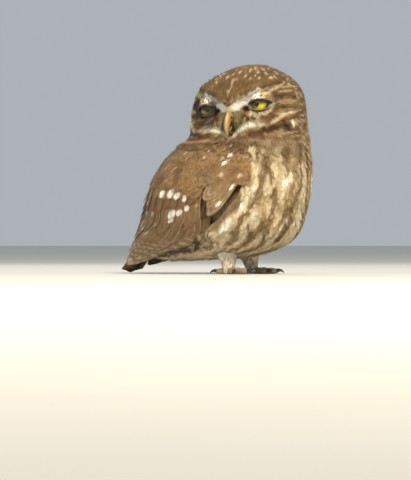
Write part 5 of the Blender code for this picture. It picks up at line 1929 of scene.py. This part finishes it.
@dataclass
class Foot:
    """A feathered leg, its scaly foot of four toes, and the claws."""

    flank: Flank
    skin_material: bpy.types.Material
    claw_material: bpy.types.Material
    feather_material: bpy.types.Material
    leg_side: float = 17.0
    leg_back: float = -5.0
    ankle: float = 8.6
    claw_length: float = 8.6
    claw_bend: float = math.radians(78.0)
    tufts: int = 360
    sides: int = 18
    claw_sides: int = 14
    toes: tuple = ((-14.0, 15.0, 4.6), (14.0, 18.5, 4.8), (48.0, 14.5, 4.6), (176.0, 10.0, 4.4))

    def tube(self, path: Array, radii: Array, sides: int) -> Array:
        """Rings of points round a path, square to it, closed to a point at both ends."""
        way = unit(np.gradient(path, axis=0))
        across = unit(np.cross(way, np.array((0.0, 0.0, 1.0))) + 1e-6)
        up = np.cross(across, way)
        turn = round_turn(sides)
        radii = np.concatenate((radii[:1] * 0.01, radii, radii[-1:] * 0.01))
        path = np.concatenate((path[:1], path, path[-1:]))
        across, up = (np.concatenate((value[:1], value, value[-1:])) for value in (across, up))
        ring = np.cos(turn)[None, :, None] * across[:, None, :] + np.sin(turn)[None, :, None] * up[:, None, :]
        return path[:, None, :] + radii[:, None, None] * ring

    def toe(self, turn: float, length: float, thick: float) -> tuple[Array, Array]:
        """One toe and its claw.

        Args:
            turn: its direction in degrees, outwards from straight ahead.
            length: its length in millimetres.
            thick: its thickness.

        Returns:
            Rings of the toe, padded underneath, and rings of the claw, bent down along a circle.
        """
        angle = math.radians(turn) * self.flank.value
        ahead, up = np.array((math.sin(angle), -math.cos(angle), 0.0)), np.array((0.0, 0.0, 1.0))
        foot = np.array((self.flank.value * self.leg_side, self.leg_back, 0.0))
        radius, share, marks = thick / 2.0, np.linspace(0.0, 1.0, 26), (0.0, 0.3, 0.62, 1.0)
        pads = 1.0 + 0.09 * np.sin(share * 2 * np.pi * 3.0 - 1.0)
        radii = radius * np.interp(share, marks, (1.05, 0.98, 1.0, 0.78)) * pads
        rise = radius * np.interp(share, marks, (1.2, 1.05, 0.98, 0.9))
        path = foot + (share * length)[:, None] * ahead + rise[:, None] * up
        sheet = above_floor(self.tube(path, radii, self.sides), 0.05)
        bend, size = np.linspace(0.0, self.claw_bend, 16), self.claw_length / self.claw_bend
        height = radius * 0.98 + 1.1 * np.sin(bend * 1.6) - 0.52 * size * (1.0 - np.cos(bend))
        along = length - 0.6 + size * np.sin(bend) * 0.98
        path = foot + along[:, None] * ahead + height[:, None] * up
        return sheet, self.tube(path, radius * np.linspace(0.66, 0.05, 16) ** 0.9, self.claw_sides)

    def join(self, name: str, parts: list, material: bpy.types.Material, code: str) -> bpy.types.Object:
        """One piece of one colour from several tubes."""
        loops, sizes, start = [], [], 0
        for part in parts:
            part_loops, part_sizes = grid_faces(part.shape[0], part.shape[1], True)
            loops.append(part_loops + start)
            sizes.append(part_sizes)
            start += part.shape[0] * part.shape[1]
        points = np.concatenate([part.reshape(-1, 3) for part in parts])
        tint = np.tile(linear(code), (len(points), 1))
        return make_piece(name, points, np.concatenate(loops), np.concatenate(sizes), material, tint)

    def build(self) -> list[bpy.types.Object]:
        """Makes the foot, the claws and the leg's feathers."""
        word, sign = self.flank.name.lower(), self.flank.value
        toes, claws = (list(parts) for parts in zip(*(self.toe(*sizes) for sizes in self.toes)))
        height = np.linspace(self.ankle + 1.0, 1.2, 14)
        path = np.stack((np.full(14, sign * self.leg_side), self.leg_back + 0.02 * height, height), -1)
        stem = self.tube(path, np.interp(height, (0.0, 4.0, 9.6), (3.3, 4.1, 3.4)), self.sides)
        foot = self.join(f"toes_{word}", toes + [stem], self.skin_material, "#8d8062")
        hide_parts(f"foot_{word}")
        talons = self.join(f"talons_{word}", claws, self.claw_material, "#2a2520")
        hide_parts(*(f"claw_{word}_{number}" for number in range(1, 5)))
        return [foot, talons, self.build_leg(word, sign)]

    def build_leg(self, word: str, sign: int) -> bpy.types.Object:
        """Makes the leg's pale feathers: a cone of overlapping tufts from the belly down to the toes."""
        draw = np.random.default_rng(SEED + 6)
        template = VaneTemplate.build(columns=5, rows=6, barbs=12, root=0.5, tip=0.25, fringe=0.2, seed=9)
        knee = np.array((sign * (self.leg_side - 1.0), self.leg_back + 3.0, 25.0))
        ankle = np.array((sign * self.leg_side, self.leg_back, self.ankle - 4.5))
        count = self.tufts
        share = np.linspace(0.0, 1.0, count)
        turn = np.arange(count) * GOLDEN_TURN + draw.normal(0.0, 0.15, count)
        radius = np.interp(share, (0.0, 0.3, 0.6, 1.0), (9.2, 7.8, 5.6, 4.0))
        flat = np.stack((np.cos(turn), np.sin(turn), np.zeros(count)), -1)
        place = knee + (ankle - knee) * share[:, None] + radius[:, None] * flat
        normal = unit(flat + np.array((0.0, 0.0, -0.2)))
        lie = unit(np.array((0.0, 0.02, -1.0)) - 0.12 * flat + draw.normal(0.0, 0.06, (count, 3)))
        lie = unit(lie - (lie * normal).sum(-1, keepdims=True) * normal)
        over = np.cross(lie, normal)
        length = np.interp(share, (0.0, 1.0), (8.0, 4.2)) * draw.uniform(0.9, 1.1, count)
        run = template.length_share * length[:, None]
        across = template.width_share * np.interp(share, (0.0, 1.0), (2.2, 1.1))[:, None]
        height = (-0.6 + 1.1 * template.length_share)[:, None]
        points = place[:, None] + run[..., None] * lie[:, None] + across[..., None] * over[:, None]
        points = above_floor(points + height * normal[:, None], 0.4)
        luck = draw.uniform(0.0, 1.0, (count, 1))
        streak = fade(0.1, 0.5, np.abs(template.side[None, :])) * (luck < 0.3)
        tint = mix(mix(INK["cream"], INK["white"], luck + 0.0 * streak), INK["streak"], 0.6 * streak)
        vane = template.vane()
        made = make_piece(
            f"coat_leg_{word}", points.reshape(-1, 3), tiled(template.loops, count, points.shape[1]),
            np.tile(template.sizes, count), self.feather_material, tint.reshape(-1, 3),
            np.tile(vane, (count, 1)), bake_patches(np.stack((turn / (2 * np.pi) % 1.0, share), -1), vane),
        )
        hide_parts(f"leg_{word}")
        return made


@dataclass
class Studio:
    """A pale floor, soft lights and the photograph's camera: level, far off, 60 degrees to the right."""

    azimuth: float = math.radians(-60.0)
    distance: float = 3.0
    pixel: float = 0.73
    frame_width: int = 411
    frame_height: int = 480
    anchor: tuple = (235.0, 274.0)
    sensor: float = 24.0
    floor_radius: float = 14.0
    floor_sides: int = 96

    def build(self) -> None:
        """Makes floor, world, lights and camera."""
        toward = np.array((math.sin(self.azimuth), -math.cos(self.azimuth), 0.0))
        right = np.array((math.cos(self.azimuth), math.sin(self.azimuth), 0.0))
        over = (self.frame_width / 2.0 - self.anchor[0]) * self.pixel
        lift = (self.anchor[1] - self.frame_height / 2.0) * self.pixel
        target = (right * over + np.array((0.0, 0.0, lift)) + SHIFT) * METRES
        camera = bpy.data.cameras.new("camera")
        camera.sensor_fit = "VERTICAL"
        camera.sensor_height = self.sensor
        camera.lens = self.sensor * self.distance / (self.frame_height * self.pixel * METRES)
        camera.clip_end = 100.0
        holder = placed("camera", camera)
        holder.location = Vector(target + toward * self.distance)
        holder.rotation_euler = Vector(-toward).to_track_quat("-Z", "Y").to_euler()
        bpy.context.scene.camera = holder
        self.build_floor()
        self.build_lights(toward, right)

    def build_floor(self) -> None:
        """Makes a wide disc of matt pale card."""
        turn = round_turn(self.floor_sides)
        ring = np.stack((np.cos(turn), np.sin(turn), 0.0 * turn), -1) * self.floor_radius
        mesh = bpy.data.meshes.new("floor")
        mesh.from_pydata(ring.tolist(), [], [tuple(range(self.floor_sides))])
        material = bpy.data.materials.new("pale_card")
        material.use_nodes = True
        shader = material.node_tree.nodes["Principled BSDF"]
        shader.inputs["Base Color"].default_value = (*linear("#d8d6d0"), 1.0)
        shader.inputs["Roughness"].default_value = 0.9
        mesh.materials.append(material)
        placed("floor", mesh)

    def build_lights(self, toward: Array, right: Array) -> None:
        """Makes the pale surround and three soft lights."""
        scene = bpy.context.scene
        world = bpy.data.worlds.new("studio")
        scene.world = world
        world.use_nodes = True
        background = world.node_tree.nodes["Background"]
        background.inputs["Color"].default_value = (*linear("#cfd6dc"), 1.0)
        background.inputs["Strength"].default_value = 0.66
        up = np.array((0.0, 0.0, 1.0))
        for name, place, size, power, code in (
            ("key", toward * 1.9 + right * 0.75 + up * 1.75, 0.55, 88.0, "#fff0d6"),
            ("fill", toward * 1.2 - right * 1.1 + up * 0.5, 1.2, 8.0, "#e6ecf5"),
            ("back", -toward * 0.9 - right * 0.2 + up * 0.8, 0.7, 3.0, "#ffffff"),
        ):
            light = bpy.data.lights.new(name, "AREA")
            light.size = size
            light.energy = power
            light.color = tuple(linear(code))
            lamp = placed(name, light)
            lamp.location = Vector(place)
            aim = Vector((0.0, 0.0, 0.08)) - Vector(place)
            lamp.rotation_euler = aim.to_track_quat("-Z", "Y").to_euler()
        scene.view_settings.view_transform = "Standard"


def main() -> None:
    """Builds every piece in order."""
    logging.basicConfig(level=logging.INFO, format="%(message)s")
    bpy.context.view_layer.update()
    Studio().build()
    surface = BodySurface()
    markings = Markings(surface)
    feathers = FeatherFinish().make()
    flight = FeatherFinish("flight_feather_keratin", barb_count=90.0, shaft=0.72, roughness=0.7, sheen=0.1)
    large = flight.make()
    Skin(surface, markings).build(SkinFinish().make())
    slots = {"coat_head": "face_feather", "coat_face": "face_feather", "coat_breast": "streaked_feather"}
    for piece in Plumage(surface, markings, feathers).build():
        slots.get(piece.name, "brown_feather")
    wet, horn = EyeFinish().make(), HornFinish("bill_horn").make()
    claw = HornFinish("claw_keratin", line_scale=500.0, roughness=0.3).make()
    toe = HornFinish("toe_scales", line_scale=1300.0, roughness=0.6).make()
    lid = HornFinish("lid_skin", line_scale=700.0, roughness=0.5).make()
    for flank in Flank:
        Wing(flank, large).build()
        eye = Eye(flank, wet, lid)
        eye.build_ball()
        eye.build_lids()
        Foot(flank, toe, claw, feathers).build()
    Tail(large).build()
    Bill(horn).build()


if __name__ == "__main__":
    main()
